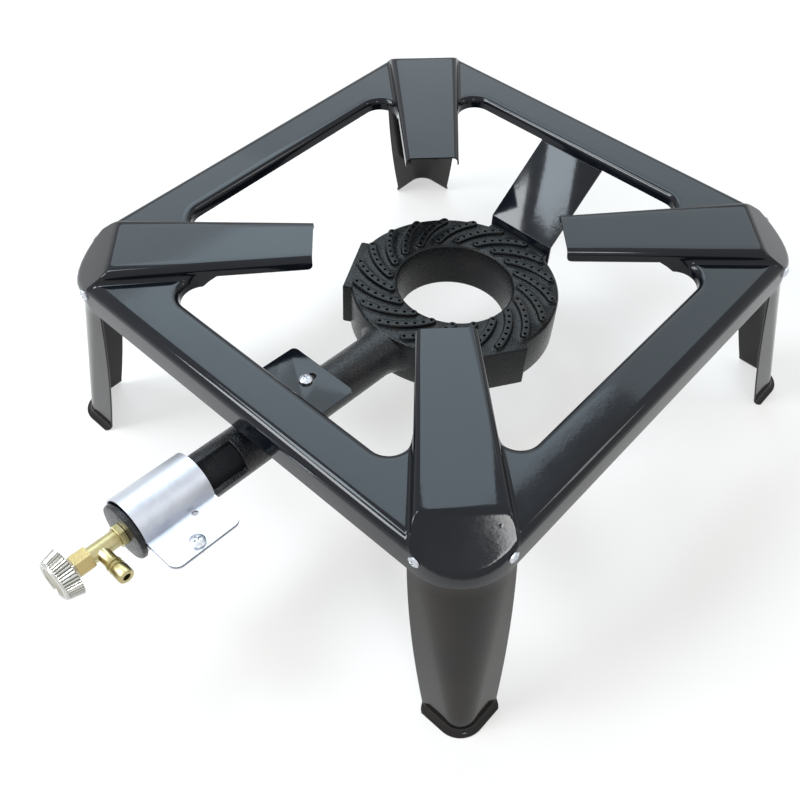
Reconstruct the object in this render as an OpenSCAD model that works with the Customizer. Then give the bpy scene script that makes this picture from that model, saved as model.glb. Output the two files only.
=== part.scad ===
// Square gas boiling ring: a pressed steel pot stand on four splayed legs, with a cast
// ring burner slung under it by two strips, an air shutter on its mixing tube and a
// needle valve with a hose barb at the tube's end. Millimetres, +Z up, -Y to the valve.

/* [Top frame] */
// Width of the square top over its skirts
frame_w = 400; // [370:1:430]
// Height of the pot rest above the floor
rest_h = 182.5; // [160:0.5:210]
// Thickness of the pressed sheet
sheet = 1.2; // [0.8:0.1:1.6]
// Outer radius of the skirt at the corners
frame_corner_r = 42; // [38:1:48]
// Width of a side rail, from its skirt to its inner flange
rail_w = 36; // [30:1:42]
// Height of a skirt, from its lower edge to the top of the rail
skirt_h = 26.8; // [22:0.2:32]
// Depth of the turned-down flange along the window
flange_h = 9.5; // [8:0.5:12]
// Rounding of the rail's outer top edge
rim_r = 8; // [6:0.5:9]
// Fillet of the flange where an arm meets a rail
window_r = 15; // [8:1:20]

/* [Arms] */
// Rounding of an arm's top edges
edge_r = 5; // [3:0.5:6]
// Height of the arms above the rails
arm_rise = 9; // [5:0.5:12]
// Distance of an arm's tip from the centre
arm_tip = 91.5; // [80:0.5:105]
// Width of an arm at its tip, over the flanges
arm_tip_w = 42.2; // [36:0.2:48]
// Width of an arm where its nose begins
arm_nose_w = 59; // [52:0.5:64]
// Distance from the start of the nose to the rounded corner
nose_run = 31.4; // [26:0.2:36]
// Slope of the nose below the level
nose_slope = 36; // [32:1:42]
// Rounding of an arm flange's lower corner at the tip
tip_corner_r = 4; // [2:0.5:6]

/* [Legs] */
// Thickness of the leg sheet
leg_sheet = 1.5; // [1:0.1:2.5]
// Distance that the foot stands outside the leg's upper part
leg_splay = 16.4; // [8:0.2:24]
// Corner radius of the leg at the foot
leg_foot_r = 14; // [14:1:30]
// Width of a leg's wing just under the skirt
leg_w_top = 47.2; // [44:0.2:56]
// Width of a leg's wing at the foot
leg_w_foot = 37; // [30:0.5:44]
// Radius inside the rolled foot
foot_roll_r = 4.5; // [3:0.5:8]
// Flat tread at the end of the rolled foot
foot_flat = 0.5; // [0.3:0.1:4]
// Gap between the leg and the skirt round it
leg_gap = 0.3; // [0.2:0.05:0.5]

/* [Leg screws] */
// Distance of a leg screw from the corner, along the skirt
leg_screw_in = 40.5; // [37:0.5:44]
// Distance of a leg screw below the top of the rail
leg_screw_drop = 10.9; // [10:0.1:14]
// Diameter of a leg screw's thread
leg_screw_d = 4; // [3:0.5:5]
// Diameter of a leg screw's head
leg_head_d = 8; // [7:0.2:10]
// Height of a leg screw's head
leg_head_h = 2.4; // [1.6:0.1:3.2]
// Width of a leg nut across its flats
leg_nut_af = 7; // [6.5:0.5:9]
// Height of a leg nut
leg_nut_h = 3.2; // [2.4:0.1:5]

/* [Burner ring] */
// Distance of the ring's centre behind the stand's centre
burner_back = 20; // [12:1:28]
// Depth of the ring's deck below the pot rest
burner_drop = 61.5; // [54:0.5:68]
// Tilt of the burner: its valve end is the higher one
burner_tilt = 5.3; // [3:0.1:6]
// Outer radius of the ring
ring_r = 82.5; // [78:0.5:88]
// Radius of the ring's hole at the deck
ring_hole_r = 46; // [42:0.5:48]
// Narrowing of the hole towards the underside
ring_hole_draft = 3; // [1:0.5:5]
// Height of the ring
ring_h = 36.8; // [36:0.2:44]
// Thickness of the ring's floor and deck
ring_wall = 4; // [3:0.5:5]
// Thickness of the ring's outer and inner walls
ring_side_wall = 3.2; // [2.5:0.1:3.4]
// Distance of a lug's face from the ring's centre
lug_reach = 84; // [83:0.5:90]
// Width of a lug
lug_w = 58; // [40:1:62]

/* [Ribs and ports] */
// Number of curved ribs on the deck
rib_count = 20; // [16:1:20]
// Height of a rib above the deck
rib_h = 3; // [1.5:0.5:4]
// Width of a rib
rib_w = 6.6; // [5:0.2:7]
// Diameter of a rib's rounded ends
rib_end_d = 6.5; // [4.6:0.1:6.5]
// Distance of a rib's outer port from the centre
rib_out = 77.4; // [74:0.2:77.6]
// Distance of a rib's inner port from the centre
rib_in = 51.6; // [51.4:0.1:55]
// Angle by which the inner port leads the outer one
rib_sweep = 27; // [20:1:32]
// Rise of the rib's arc over its chord
rib_bow = 3.4; // [2:0.2:5]
// Angle of the first rib's outer port
rib_start = 11.5; // [0:0.5:18]
// Ports in each rib
port_count = 7; // [3:1:7]
// Diameter of a port
port_d = 2.6; // [1.6:0.2:2.8]

/* [Mixing tube] */
// Outer radius of the mixing tube
tube_r = 17; // [16:0.5:18]
// Radius of the mixing tube's bore
tube_bore_r = 13; // [11:0.5:13.5]
// Distance of the tube's end face from the ring's centre
tube_len = 314; // [300:1:330]
// Radius of the plate that closes the tube
end_plate_r = 20.5; // [19:0.5:24]
// Thickness of that plate
end_plate_t = 4; // [3:0.5:6]
// Distance from the end face to the air window
air_window_back = 35; // [30:1:40]
// Length of the air window along the tube
air_window_len = 51; // [40:1:52]
// Radius of the fillets that flare the tube into the ring
tube_flare_r = 16; // [8:1:22]

/* [Brackets] */
// Thickness of both strips
strap_t = 2; // [1.5:0.1:3]
// Width of the front strip
front_strap_w = 61; // [50:1:70]
// Distance of the front strip's middle from the tube's axis, towards -X
strap_side = 3; // [0:0.5:4]
// Distance of the front strip's inner edge from its screw
front_strap_lap = 17.3; // [14:0.1:20]
// Corner radius of the front strip
front_strap_corner_r = 4; // [2:0.5:8]
// Height of the boss that the front strip lies on over the tube's crest
boss_up = 0.5; // [0.3:0.1:2]
// Radius of that boss
boss_r = 8; // [7:0.5:10]
// Distance of the front screw from the upright end of its strip
front_screw_in = 30.4; // [27:0.1:34]
// Width of the slot that the front screw clamps
slot_w = 5.6; // [5.4:0.1:6.4]
// Reach of that slot past the screw, towards the ring
slot_in = 8.8; // [6:0.2:10]
// Width of the rear strip
rear_strap_w = 61.5; // [50:0.5:70]
// Distance of the rear strip's middle from the ring's centre line, towards -X
rear_strap_side = 0.8; // [0:0.2:4]
// Height of the rear strip's lower bend over the deck
rear_bend_up = 5.5; // [4:0.5:8]
// Depth of the rear strip under the window flange where it passes it
rear_strap_dip = 2.6; // [2.4:0.1:5]
// Length of the rear strip's part below the deck
rear_strap_drop = 30; // [26:1:34]
// Diameter of the front screw's thread
front_screw_d = 5; // [4:0.5:5]
// Diameter of the front screw's head
front_head_d = 9.4; // [8.4:0.2:12]
// Diameter of the rear screw's thread
rear_screw_d = 6; // [5:0.5:8]
// Diameter of the rear screw's head
rear_head_d = 11; // [10:0.2:13]
// Height of both screws' heads
strap_head_h = 3.4; // [2.4:0.2:4.4]
// Distance of the strips' upturned ends below the rail's sheet
hook_down = 3; // [1:0.5:5]

/* [Air shutter] */
// Thickness of the shutter's sheet
shutter_sheet = 1; // [0.6:0.1:1.2]
// Inner radius of the sleeve
shutter_r = 19.3; // [19.1:0.1:20]
// Length of the sleeve
shutter_len = 52.7; // [50:0.1:56]
// Gap between the sleeve's outer end and the end plate
shutter_gap = 0.3; // [0.2:0.1:2]
// Reach of the ears from the tube's axis
ear_reach = 46.5; // [44:0.5:50]
// Height of the upper ear's middle over the tube's axis
ear_up = 3.2; // [2.4:0.1:4]
// Gap between the two ears
ear_gap = 1; // [0.6:0.1:2]
// Corner radius of the ears
ear_corner_r = 6.5; // [3:0.5:8]
// Distance of the clamp screw from the tube's axis
shutter_screw_out = 40; // [36:0.5:40]
// Distance of the clamp screw from the sleeve's outer end
shutter_screw_back = 22.2; // [18:0.2:30]
// Diameter of the clamp screw's thread
shutter_screw_d = 5; // [4:0.5:5]
// Diameter of the clamp screw's head
shutter_head_d = 10.5; // [9:0.5:12]
// Height of the clamp screw's head
shutter_head_h = 3.4; // [2.4:0.2:4]
// Width of the clamp nut across its flats
shutter_nut_af = 8; // [8:0.5:10]
// Height of the clamp nut
shutter_nut_h = 4; // [3:0.2:5]
// Diameter of the relief hole at the ear's root
relief_d = 4.6; // [3:0.2:5]
// Distance of the relief hole from the sleeve's outer end
relief_back = 34.7; // [32:0.2:38]

/* [Valve] */
// Width of the lock nut and gland nut across their flats
hex_af = 14; // [13:0.5:16]
// Height of the lock nut
lock_nut_h = 4.4; // [3:0.2:6]
// Diameter of the injector's thread
injector_d = 9.6; // [9:0.2:9.8]
// Diameter of the injector's jet
jet_d = 1; // [0.6:0.1:1.4]
// Diameter of the valve body
valve_d = 11.4; // [11.2:0.2:13]
// Length of the valve body from the lock nut to the gland nut
valve_len = 19.4; // [18:0.2:24]
// Distance of the hose branch from the lock nut
branch_at = 12.4; // [11.6:0.2:12.6]
// Length of the gland nut
gland_len = 11; // [10:0.5:14]
// Diameter of the spindle
spindle_d = 5; // [4:0.2:5]
// Free length of the spindle between gland nut and knob
spindle_free = 3; // [2:0.5:5]
// Rise of the spindle in one turn
spindle_pitch = 1; // [0.5:0.25:1.5]

/* [Hose barb] */
// Distance of the barb's open end from the valve's axis
barb_reach = 28; // [26:0.5:34]
// Diameter of the barb's root
barb_root_d = 9; // [8.6:0.2:9.4]
// Diameter of the barb's ridges
barb_ridge_d = 10.6; // [10:0.2:12]
// Diameter of the barb's waist behind each ridge
barb_waist_d = 8.6; // [7.6:0.2:9]
// Diameter of the barb's bore
barb_bore_d = 5; // [3:0.2:5.4]

/* [Knob] */
// Diameter of the knob at the back
knob_d = 33; // [30:0.5:36]
// Diameter of the knob at the face
knob_face_d = 27; // [25:0.5:29]
// Thickness of the knob
knob_t = 11; // [10:0.5:14]
// Wall of the knob
knob_wall = 2.5; // [2:0.1:3]
// Ribs round the knob
knob_ribs = 45; // [24:1:48]
// Diameter of the cap set in the knob's face
knob_cap_d = 19.6; // [16:0.2:20]

/* [Fits] */
// Gap between a seated piece and its seat
seat_gap = 0.1; // [0.05:0.05:0.3]
// Gap round a screw in its clearance hole
hole_gap = 0.2; // [0.1:0.05:0.3]
// Gap round a thread or plug in its socket
thread_gap = 0.1; // [0.05:0.05:0.1]
// Gap between the burner strips and the flange they hook behind
hook_gap = 0.2; // [0.1:0.1:0.4]
// Gap between the needle and its seat when the valve is shut
needle_gap = 0.2; // [0.1:0.05:0.3]

/* [Hidden] */
$fn = 64;
eps = 0.02;
overlap = 0.5;
// Depth to which a fillet's face cuts into the faces it runs into
bite = 0.03;
past = 5;

// Levels of the stand
rail_z = rest_h - arm_rise;
skirt_z = rail_z - skirt_h;
flange_z = rail_z - flange_h;
arm_flange_z = rest_h - flange_h;
rim_z = rail_z - rim_r;

// Plan of the stand
half_w = frame_w / 2;
window_half = half_w - rail_w;
corner_reach = half_w * sqrt(2) - frame_corner_r * (sqrt(2) - 1);
nose_at = corner_reach - nose_run;
arm_taper = (arm_nose_w - arm_tip_w) / 2 / (nose_at - arm_tip);
arm_angle = atan(arm_taper);
arm_tail = 2.4;
arm_end = nose_at + (arm_rise + arm_tail) / tan(nose_slope);

// Levels and plan of the legs
foot_h = foot_roll_r + leg_sheet;
leg_half = half_w - sheet - leg_gap;
foot_half = leg_half + leg_splay;
leg_top_r = frame_corner_r - sheet - leg_gap;
leg_bend_z = skirt_z - leg_sheet / 2;
rim_inner_r = rim_r - sheet;
rim_clear = 0.8;
leg_top_z = rim_z + rim_clear * sqrt(2 * rim_inner_r * leg_gap - leg_gap * leg_gap);
leg_screw_z = rail_z - leg_screw_drop;
leg_screw_x = half_w - leg_screw_in;
leg_hole_d = leg_screw_d + 2 * hole_gap;
leg_inner_r = leg_top_r - leg_sheet;
nut_in_curve = max(0, leg_screw_x + leg_nut_af / sqrt(3) - leg_half + leg_top_r);
nut_seat = sheet + leg_gap + leg_sheet + seat_gap
    + leg_inner_r - sqrt(leg_inner_r * leg_inner_r - nut_in_curve * nut_in_curve);
leg_facets = 8;
leg_steps = 5;
roll_steps = 3;

// The burner's own frame has its origin at the middle of the deck
deck_z = rest_h - burner_drop;
axis_z = -ring_h / 2;
chamber_in = ring_hole_r + ring_side_wall;
chamber_out = ring_r - ring_side_wall;
chamber_mid = (chamber_in + chamber_out) / 2;
tube_top = axis_z + tube_r;
end_plate_at = tube_len - end_plate_t;
window_out = tube_len - air_window_back;
window_in = window_out - air_window_len;

// The strips hook behind the window flanges
hook_y = window_half + sheet + hook_gap + strap_t / 2;
hook_top = rail_z - sheet - hook_down;
strap_mid = tube_top + boss_up + seat_gap + strap_t / 2;
front_screw_at = (hook_y + burner_back) / cos(burner_tilt) - front_screw_in;
front_strap_start = front_screw_at - front_strap_lap;
rear_mid = lug_reach + seat_gap + strap_t / 2;

// The shutter hangs on the tube, so its middle lies off the tube's axis
shutter_off = shutter_r - tube_r - shutter_gap;
shutter_dir = 135;
shutter_x = shutter_off * cos(shutter_dir);
shutter_y = shutter_off * sin(shutter_dir);
shutter_out = end_plate_at - shutter_gap;
shutter_in = shutter_out - shutter_len;
shutter_screw_at = shutter_out - shutter_screw_back;
lower_ear_up = ear_up - ear_gap - shutter_sheet;
ear_root = shutter_x + shutter_r + 1.5 * shutter_sheet;

// Stations of the valve along the tube's axis
nut_at = tube_len + seat_gap;
body_at = nut_at + lock_nut_h + seat_gap;
gland_at = body_at + valve_len + seat_gap;
neck_len = 0.4 * gland_len;
knob_at = gland_at + gland_len + spindle_free;
knob_face_at = knob_at + knob_t;
valve_r = valve_d / 2;
injector_r = injector_d / 2;
socket_r = injector_r + thread_gap;
seat_depth = 5.4;
seat_at = body_at + seat_depth;
seat_r = 1.2;
chamber_r = 3;
neck_step = 0.7;
neck_r = valve_r - neck_step;
branch_z = body_at + branch_at;
spindle_r = spindle_d / 2;
o_ring_past = 4.4;
o_ring_at = branch_z + o_ring_past;
o_ring_t = 1.1;
groove_r = chamber_r - seat_gap - o_ring_t - seat_gap / 2;
groove_w = o_ring_t + 2 * seat_gap;
packing_t = 2;
shoulder_t = 3;
nozzle_len = 5;
barb_stem_r = 3.3;
barb_stem_in = 1.6;
barb_stem_at = valve_r - barb_stem_in;
barb_root_out = 2.4;
barb_root_at = valve_r + barb_root_out;
barb_root_len = 4.4;
barb_ridge_len = 3;
thread_end_wall = 0.8;
rear_thread_len = lug_reach - ring_r + ring_side_wall - thread_end_wall;
cap_pocket = 1.6;
hub_end_wall = 1;
hub_depth = knob_t - cap_pocket - hub_end_wall;

// The lowest point of the knob's face is the foremost point of the whole
function from_burner(p) = [
    p[0] * cos(burner_tilt) + p[1] * sin(burner_tilt) + burner_back,
    -p[0] * sin(burner_tilt) + p[1] * cos(burner_tilt) + deck_z];
front_y = from_burner([-knob_face_at, axis_z - knob_face_d / 2])[0];
rear_y = foot_half + foot_roll_r + foot_flat;
middle_y = -(front_y + rear_y) / 2;

function unit(v) = v / norm(v);
function left_of(v) = [-v[1], v[0]];
function reversed(v) = [for (i = [len(v) - 1 : -1 : 0]) v[i]];

module placed() {
    translate([0, middle_y, 0]) children();
}

module in_burner() {
    placed() translate([0, burner_back, deck_z]) rotate([-burner_tilt, 0, 0]) children();
}

// Children's +Z runs outward along the tube's axis and their +Y points up
module on_axis() {
    in_burner() translate([0, 0, axis_z]) rotate([90, 0, 0]) children();
}

module rounded_square(half, r) {
    square([2 * half, 2 * (half - r)], center = true);
    square([2 * (half - r), 2 * half], center = true);
    for (sx = [-1, 1], sy = [-1, 1])
        translate([sx * (half - r), sy * (half - r)]) circle(r);
}

// Half width of an arm at a distance u along its diagonal, for a surface set in by d
function arm_half(u, d) = arm_tip_w / 2 + (u - arm_tip) * arm_taper - d / cos(arm_angle);

// Crossing of an arm's face with a rail's flange, as distances along and across the arm
function root_corner(d) =
    let (b = arm_half(0, d), u = (sqrt(2) * (window_half + d) - b) / (1 + arm_taper))
    [u, b + arm_taper * u];

// Middle of the fillet in that crossing, the same for every inset
function root_centre() =
    let (b = arm_half(0, 0) + window_r / cos(arm_angle),
         u = (sqrt(2) * (window_half - window_r) - b) / (1 + arm_taper))
    [u, b + arm_taper * u];

module each_corner() {
    for (i = [0 : 3]) rotate(45 + 90 * i) children();
}

// Fillets between one arm and its two rails, drawn along the arm
module root_fillets(d) {
    c = root_centre();
    r = window_r + d + bite;
    for (side = [0, 1]) mirror([0, side])
        difference() {
            polygon([root_corner(d + overlap), c + (r + overlap) * [cos(45), sin(45)], c,
                     c + (r + overlap) * [sin(arm_angle), -cos(arm_angle)]]);
            translate(c) circle(r);
        }
}

module rail_plan(outer, outer_r, d) {
    difference() {
        rounded_square(outer, outer_r);
        square(2 * (window_half + d), center = true);
    }
    each_corner() root_fillets(d);
}

// Section of a skirt's solid, from the middle of its rim's rounding outwards
module rim_section(d, floor_z) {
    translate([0, floor_z]) square([rim_r - d, rim_z - floor_z]);
    translate([0, rim_z]) intersection() {
        circle(rim_r - d);
        square(rim_r);
    }
}

// The rails as if solid, every surface set in by d, down to a floor level
module rails(d, floor_z) {
    inner = half_w - rim_r;
    inner_r = frame_corner_r - rim_r;
    run = 2 * (inner - inner_r);
    translate([0, 0, floor_z]) linear_extrude(rail_z - d - floor_z)
        rail_plan(inner, inner_r, d);
    for (i = [0 : 3]) rotate(90 * i) {
        translate([inner, run / 2, 0]) rotate([90, 0, 0]) linear_extrude(run)
            rim_section(d, floor_z);
        translate([inner - inner_r, inner - inner_r, 0]) rotate_extrude(angle = 90)
            translate([inner_r, 0]) rim_section(d, floor_z);
    }
}

module arm_plan(d, tip) {
    polygon([[tip, -arm_half(tip, d)], [arm_end, -arm_half(arm_end, d)],
             [arm_end, arm_half(arm_end, d)], [tip, arm_half(tip, d)]]);
}

// Section of an arm's side, across the arm from the middle of its edge's rounding
module edge_section(d, floor_z) {
    crest_z = rest_h - edge_r;
    translate([-edge_r, floor_z]) square([edge_r, rest_h - d - floor_z]);
    translate([-edge_r, floor_z]) square([2 * edge_r - d, crest_z - floor_z]);
    translate([0, crest_z]) intersection() {
        circle(edge_r - d);
        square(edge_r);
    }
}

// The arms as if solid, every surface set in by d, from a tip down to a floor level
module arms(d, tip, floor_z) {
    run = arm_end - tip;
    each_corner() {
        translate([0, 0, floor_z]) linear_extrude(rest_h - d - floor_z) arm_plan(edge_r, tip);
        intersection() {
            for (side = [0, 1]) mirror([0, side, 0])
                translate([tip, arm_half(tip, edge_r), 0]) rotate([0, 0, arm_angle - 90])
                    translate([0, run + past, 0]) rotate([90, 0, 0])
                        mirror([1, 0, 0]) linear_extrude(run + 2 * past) edge_section(d, floor_z);
            translate([tip, -half_w, floor_z]) cube([run, frame_w, rest_h]);
        }
    }
}

// What lies above the sloping noses, whose planes are set in by d
module above_noses(d) {
    each_corner() translate([nose_at, 0, rest_h]) rotate([0, nose_slope, 0])
        translate([d > 0 ? -past : 0, -half_w, -d]) cube([half_w, frame_w, half_w]);
}

// Side view of what is open under an arm, with the rounded lower corner of its tip
module under_arm() {
    ramp_run = 10;
    ramp_end = root_centre()[0] + window_r * sin(arm_angle);
    polygon([[arm_tip - past, flange_z - past], [arm_tip - past, arm_flange_z],
             [ramp_end - ramp_run, arm_flange_z], [ramp_end, flange_z],
             [ramp_end, flange_z - past]]);
    difference() {
        translate([arm_tip - past, arm_flange_z - past]) square(past + tip_corner_r);
        translate([arm_tip, arm_flange_z] + tip_corner_r * [1, 1]) circle(tip_corner_r);
    }
}

// Children are placed at each leg screw, with +Z out of the skirt
module at_leg_screws() {
    placed() for (i = [0 : 3], side = [-1, 1])
        rotate(90 * i) translate([side * leg_screw_x, -half_w, leg_screw_z])
            rotate([90, 0, 0]) children();
}

module top_frame() {
    under = skirt_z - past;
    color("#20242a") difference() {
        placed() difference() {
            union() {
                rails(0, skirt_z);
                arms(0, arm_tip, flange_z);
            }
            above_noses(0);
            difference() {
                union() {
                    rails(sheet, under);
                    arms(sheet, arm_tip - past, under);
                }
                above_noses(sheet);
            }
            translate([0, 0, under]) linear_extrude(flange_z - under)
                rounded_square(half_w - sheet, frame_corner_r - sheet);
            each_corner() rotate([90, 0, 0])
                linear_extrude(arm_nose_w + past, center = true) under_arm();
        }
        at_leg_screws() cylinder(h = 2 * past, d = leg_hole_d, center = true);
    }
}

// Free edge of a wing: upright inside the skirt, then bowed out to the foot
function leg_edge(z) =
    let (top = leg_half - leg_w_top, foot = foot_half - leg_w_foot,
         s = max(0, (leg_bend_z - z) / (leg_bend_z - foot_h)))
    top + (foot - top) * (s + s * s) / 2;

// Path of one face of a leg at a level, round the corner at +X and +Y: its wings' free
// edges stand at edge, and off is the distance of the face from the outer one
function leg_path(half, r, edge, off, z) = concat(
    [[edge, half + off, z]],
    [for (i = [0 : leg_facets]) let (a = 90 - 90 * i / leg_facets)
        [half - r + (r + off) * cos(a), half - r + (r + off) * sin(a), z]],
    [[half + off, edge, z]]);

// Closed ring through both faces of a leg; s runs from the bend (0) to the foot (1)
function leg_ring(s, z, edge, out, out_z, in, in_z) =
    let (half = leg_half + leg_splay * s, r = leg_top_r + (leg_foot_r - leg_top_r) * s)
    concat(leg_path(half, r, edge, out, out_z), reversed(leg_path(half, r, edge, in, in_z)));

// All rings of a leg, from its top edge down its wings and round its rolled foot
function leg_rings() = concat(
    [leg_ring(0, leg_top_z, leg_edge(leg_top_z), 0, leg_top_z, -leg_sheet, leg_top_z)],
    [for (i = [0 : leg_steps])
        let (s = i / leg_steps, z = leg_bend_z + (foot_h - leg_bend_z) * s)
        leg_ring(s, z, leg_edge(z), 0, z, -leg_sheet, z)],
    [for (i = [1 : roll_steps])
        let (a = 90 * i / roll_steps)
        leg_ring(1, foot_h, leg_edge(foot_h),
                 foot_roll_r * (1 - cos(a)), foot_h - foot_roll_r * sin(a),
                 foot_roll_r - foot_h * cos(a), foot_h * (1 - sin(a)))],
    [leg_ring(1, 0, leg_edge(foot_h), foot_roll_r + foot_flat, leg_sheet,
              foot_roll_r + foot_flat, 0)]);

// Skin over rings with the same number of points, closed by the first and last of them
module lofted(rings) {
    n = len(rings[0]);
    last = len(rings) - 1;
    // Both ends are strips between the two faces, since a wing's section is no convex loop
    function cap(k) = [for (i = [0 : n / 2 - 2]) each
        [[k + i, k + i + 1, k + n - 1 - i], [k + i + 1, k + n - 2 - i, k + n - 1 - i]]];
    sides = [for (j = [0 : last - 1], i = [0 : n - 1]) each
        let (a = j * n + i, b = j * n + (i + 1) % n)
        [[a, a + n, b], [b, a + n, b + n]]];
    polyhedron([for (ring = rings) each ring],
               concat([for (f = cap(0)) f], sides, [for (f = cap(last * n)) reversed(f)]));
}

// Turns the corner at +X and +Y to another corner of the stand
module turned(left, front) {
    if (left && front) rotate(180) children();
    else if (left) mirror([1, 0, 0]) children();
    else if (front) mirror([0, 1, 0]) children();
    else children();
}

module leg(left, front) {
    color("#23262b") difference() {
        placed() {
            difference() {
                turned(left, front) lofted(leg_rings());
                above_noses(sheet + leg_gap);
            }
        }
        at_leg_screws() cylinder(h = 4 * past, d = leg_hole_d, center = true);
    }
}

module leg_front_left() { leg(true, true); }
module leg_front_right() { leg(false, true); }
module leg_rear_left() { leg(true, false); }
module leg_rear_right() { leg(false, false); }

// Screw with a domed head and a cross recess; the head's seat lies at z = 0
module pan_screw(thread_d, thread_len, head_d, head_h) {
    dome = 0.55 * head_h;
    dome_r = (head_d * head_d / 4 + dome * dome) / (2 * dome);
    slot = [0.56 * head_d, 0.13 * head_d, head_h];
    translate([0, 0, -thread_len]) cylinder(h = thread_len + eps, d = thread_d);
    difference() {
        intersection() {
            cylinder(h = head_h, d = head_d);
            translate([0, 0, head_h - dome_r]) sphere(dome_r);
        }
        for (turn = [0, 90]) rotate(turn)
            translate([-slot[0] / 2, -slot[1] / 2, 0.45 * head_h]) cube(slot);
    }
}

module hex_nut(af, h, bore_r) {
    difference() {
        cylinder(h = h, d = af / cos(30), $fn = 6);
        translate([0, 0, -eps]) cylinder(h = h + 2 * eps, r = bore_r);
    }
}

module leg_screws() {
    grip = nut_seat + seat_gap + leg_nut_h;
    color("#c9ccd0") at_leg_screws() translate([0, 0, seat_gap])
        pan_screw(leg_screw_d, grip + leg_screw_d / 2, leg_head_d, leg_head_h);
}

module leg_nuts() {
    color("#b9bcc0") at_leg_screws() translate([0, 0, -nut_seat - leg_nut_h])
        hex_nut(leg_nut_af, leg_nut_h, leg_screw_d / 2 + thread_gap);
}

// Arc of a rib from its outer to its inner port, as [middle x, middle y, radius, from, span]
function rib_arc() =
    let (a = [rib_out, 0], b = rib_in * [cos(rib_sweep), sin(rib_sweep)],
         chord = norm(b - a), way = (b - a) / chord,
         r = (chord * chord / 4 + rib_bow * rib_bow) / (2 * rib_bow),
         m = (a + b) / 2 - [way[1], -way[0]] * (r - rib_bow),
         from = atan2(a[1] - m[1], a[0] - m[0]))
    [m[0], m[1], r, from, 2 * asin(chord / 2 / r)];

module each_rib() {
    for (i = [0 : rib_count - 1]) rotate(rib_start + 360 / rib_count * i) children();
}

module rib() {
    arc = rib_arc();
    translate([arc[0], arc[1], -overlap]) rotate(arc[3]) {
        rotate_extrude(angle = arc[4])
            translate([arc[2] - rib_w / 2, 0]) square([rib_w, rib_h + overlap]);
        for (turn = [0, arc[4]]) rotate(turn) translate([arc[2], 0, 0])
            cylinder(h = rib_h + overlap, d = rib_end_d);
    }
}

module ports() {
    arc = rib_arc();
    translate([arc[0], arc[1], -ring_wall - past])
        for (i = [0 : port_count - 1]) rotate(arc[3] + arc[4] * i / (port_count - 1))
            translate([arc[2], 0, 0]) cylinder(h = ring_wall + rib_h + 2 * past, d = port_d);
}

// Plan of the web that flares the tube into the ring, on its +X side
module flare_plan() {
    c = [tube_r + tube_flare_r, -sqrt(pow(ring_r + tube_flare_r, 2) - pow(tube_r + tube_flare_r, 2))];
    difference() {
        polygon([[0, -chamber_mid], c * (ring_r - overlap) / norm(c), c, [0, c[1]]]);
        translate(c) circle(tube_flare_r);
    }
}

module casting_body() {
    web = 1.5 * tube_r;
    translate([0, 0, -ring_h]) cylinder(h = ring_h, r = ring_r);
    for (turn = [90, 210, 330]) rotate(turn) translate([chamber_mid, -lug_w / 2, -ring_h])
        cube([lug_reach - chamber_mid, lug_w, ring_h]);
    each_rib() rib();
    translate([0, 0, axis_z]) rotate([90, 0, 0]) {
        translate([0, 0, chamber_mid]) cylinder(h = tube_len - chamber_mid, r = tube_r);
        translate([0, 0, end_plate_at]) cylinder(h = end_plate_t, r = end_plate_r);
    }
    translate([0, 0, axis_z - web / 2]) linear_extrude(web)
        for (side = [0, 1]) mirror([side, 0]) flare_plan();
    translate([-strap_side, -front_screw_at, axis_z + tube_bore_r - overlap])
        cylinder(h = tube_r - tube_bore_r + overlap + boss_up, r = boss_r);
}

module casting_hollows() {
    translate([0, 0, -ring_h - eps])
        cylinder(h = ring_h + 2 * eps, r1 = ring_hole_r - ring_hole_draft, r2 = ring_hole_r);
    translate([0, 0, ring_wall - ring_h]) difference() {
        cylinder(h = ring_h - 2 * ring_wall, r = chamber_out);
        translate([0, 0, -eps]) cylinder(h = ring_h, r = chamber_in);
    }
    each_rib() ports();
    translate([0, 0, axis_z]) rotate([90, 0, 0]) {
        translate([0, 0, chamber_mid]) cylinder(h = end_plate_at - chamber_mid, r = tube_bore_r);
        translate([0, 0, end_plate_at - eps]) cylinder(h = 2 * end_plate_t, r = socket_r);
        translate([0, 0, window_in]) rotate_extrude(angle = 90)
            translate([tube_bore_r - overlap, 0])
                square([tube_r - tube_bore_r + 2 * overlap, air_window_len]);
    }
    translate([-strap_side, -front_screw_at, axis_z])
        cylinder(h = 2 * tube_r, d = front_screw_d + 2 * thread_gap);
    translate([-rear_strap_side, lug_reach + eps, axis_z]) rotate([90, 0, 0])
        cylinder(h = rear_thread_len + seat_gap, d = rear_screw_d + 2 * thread_gap);
}

module burner_casting() {
    color("#1b1b1c") in_burner() difference() {
        casting_body();
        casting_hollows();
    }
}

// One side of a bent strip, at a distance from its middle line, mitred at the bends
function strip_side(p, off) =
    [for (i = [0 : len(p) - 1])
        let (before = unit(p[max(i, 1)] - p[max(i, 1) - 1]),
             after = unit(p[min(i, len(p) - 2) + 1] - p[min(i, len(p) - 2)]),
             mitre = unit(left_of(before) + left_of(after)))
        p[i] + mitre * off / (mitre * left_of(before))];

// A strip that follows a middle line in the YZ plane, from one X to another
module bent_strip(line, t, from_x, width) {
    translate([from_x, 0, 0]) rotate([90, 0, 90]) linear_extrude(width)
        polygon(concat(strip_side(line, t / 2), reversed(strip_side(line, -t / 2))));
}

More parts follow.
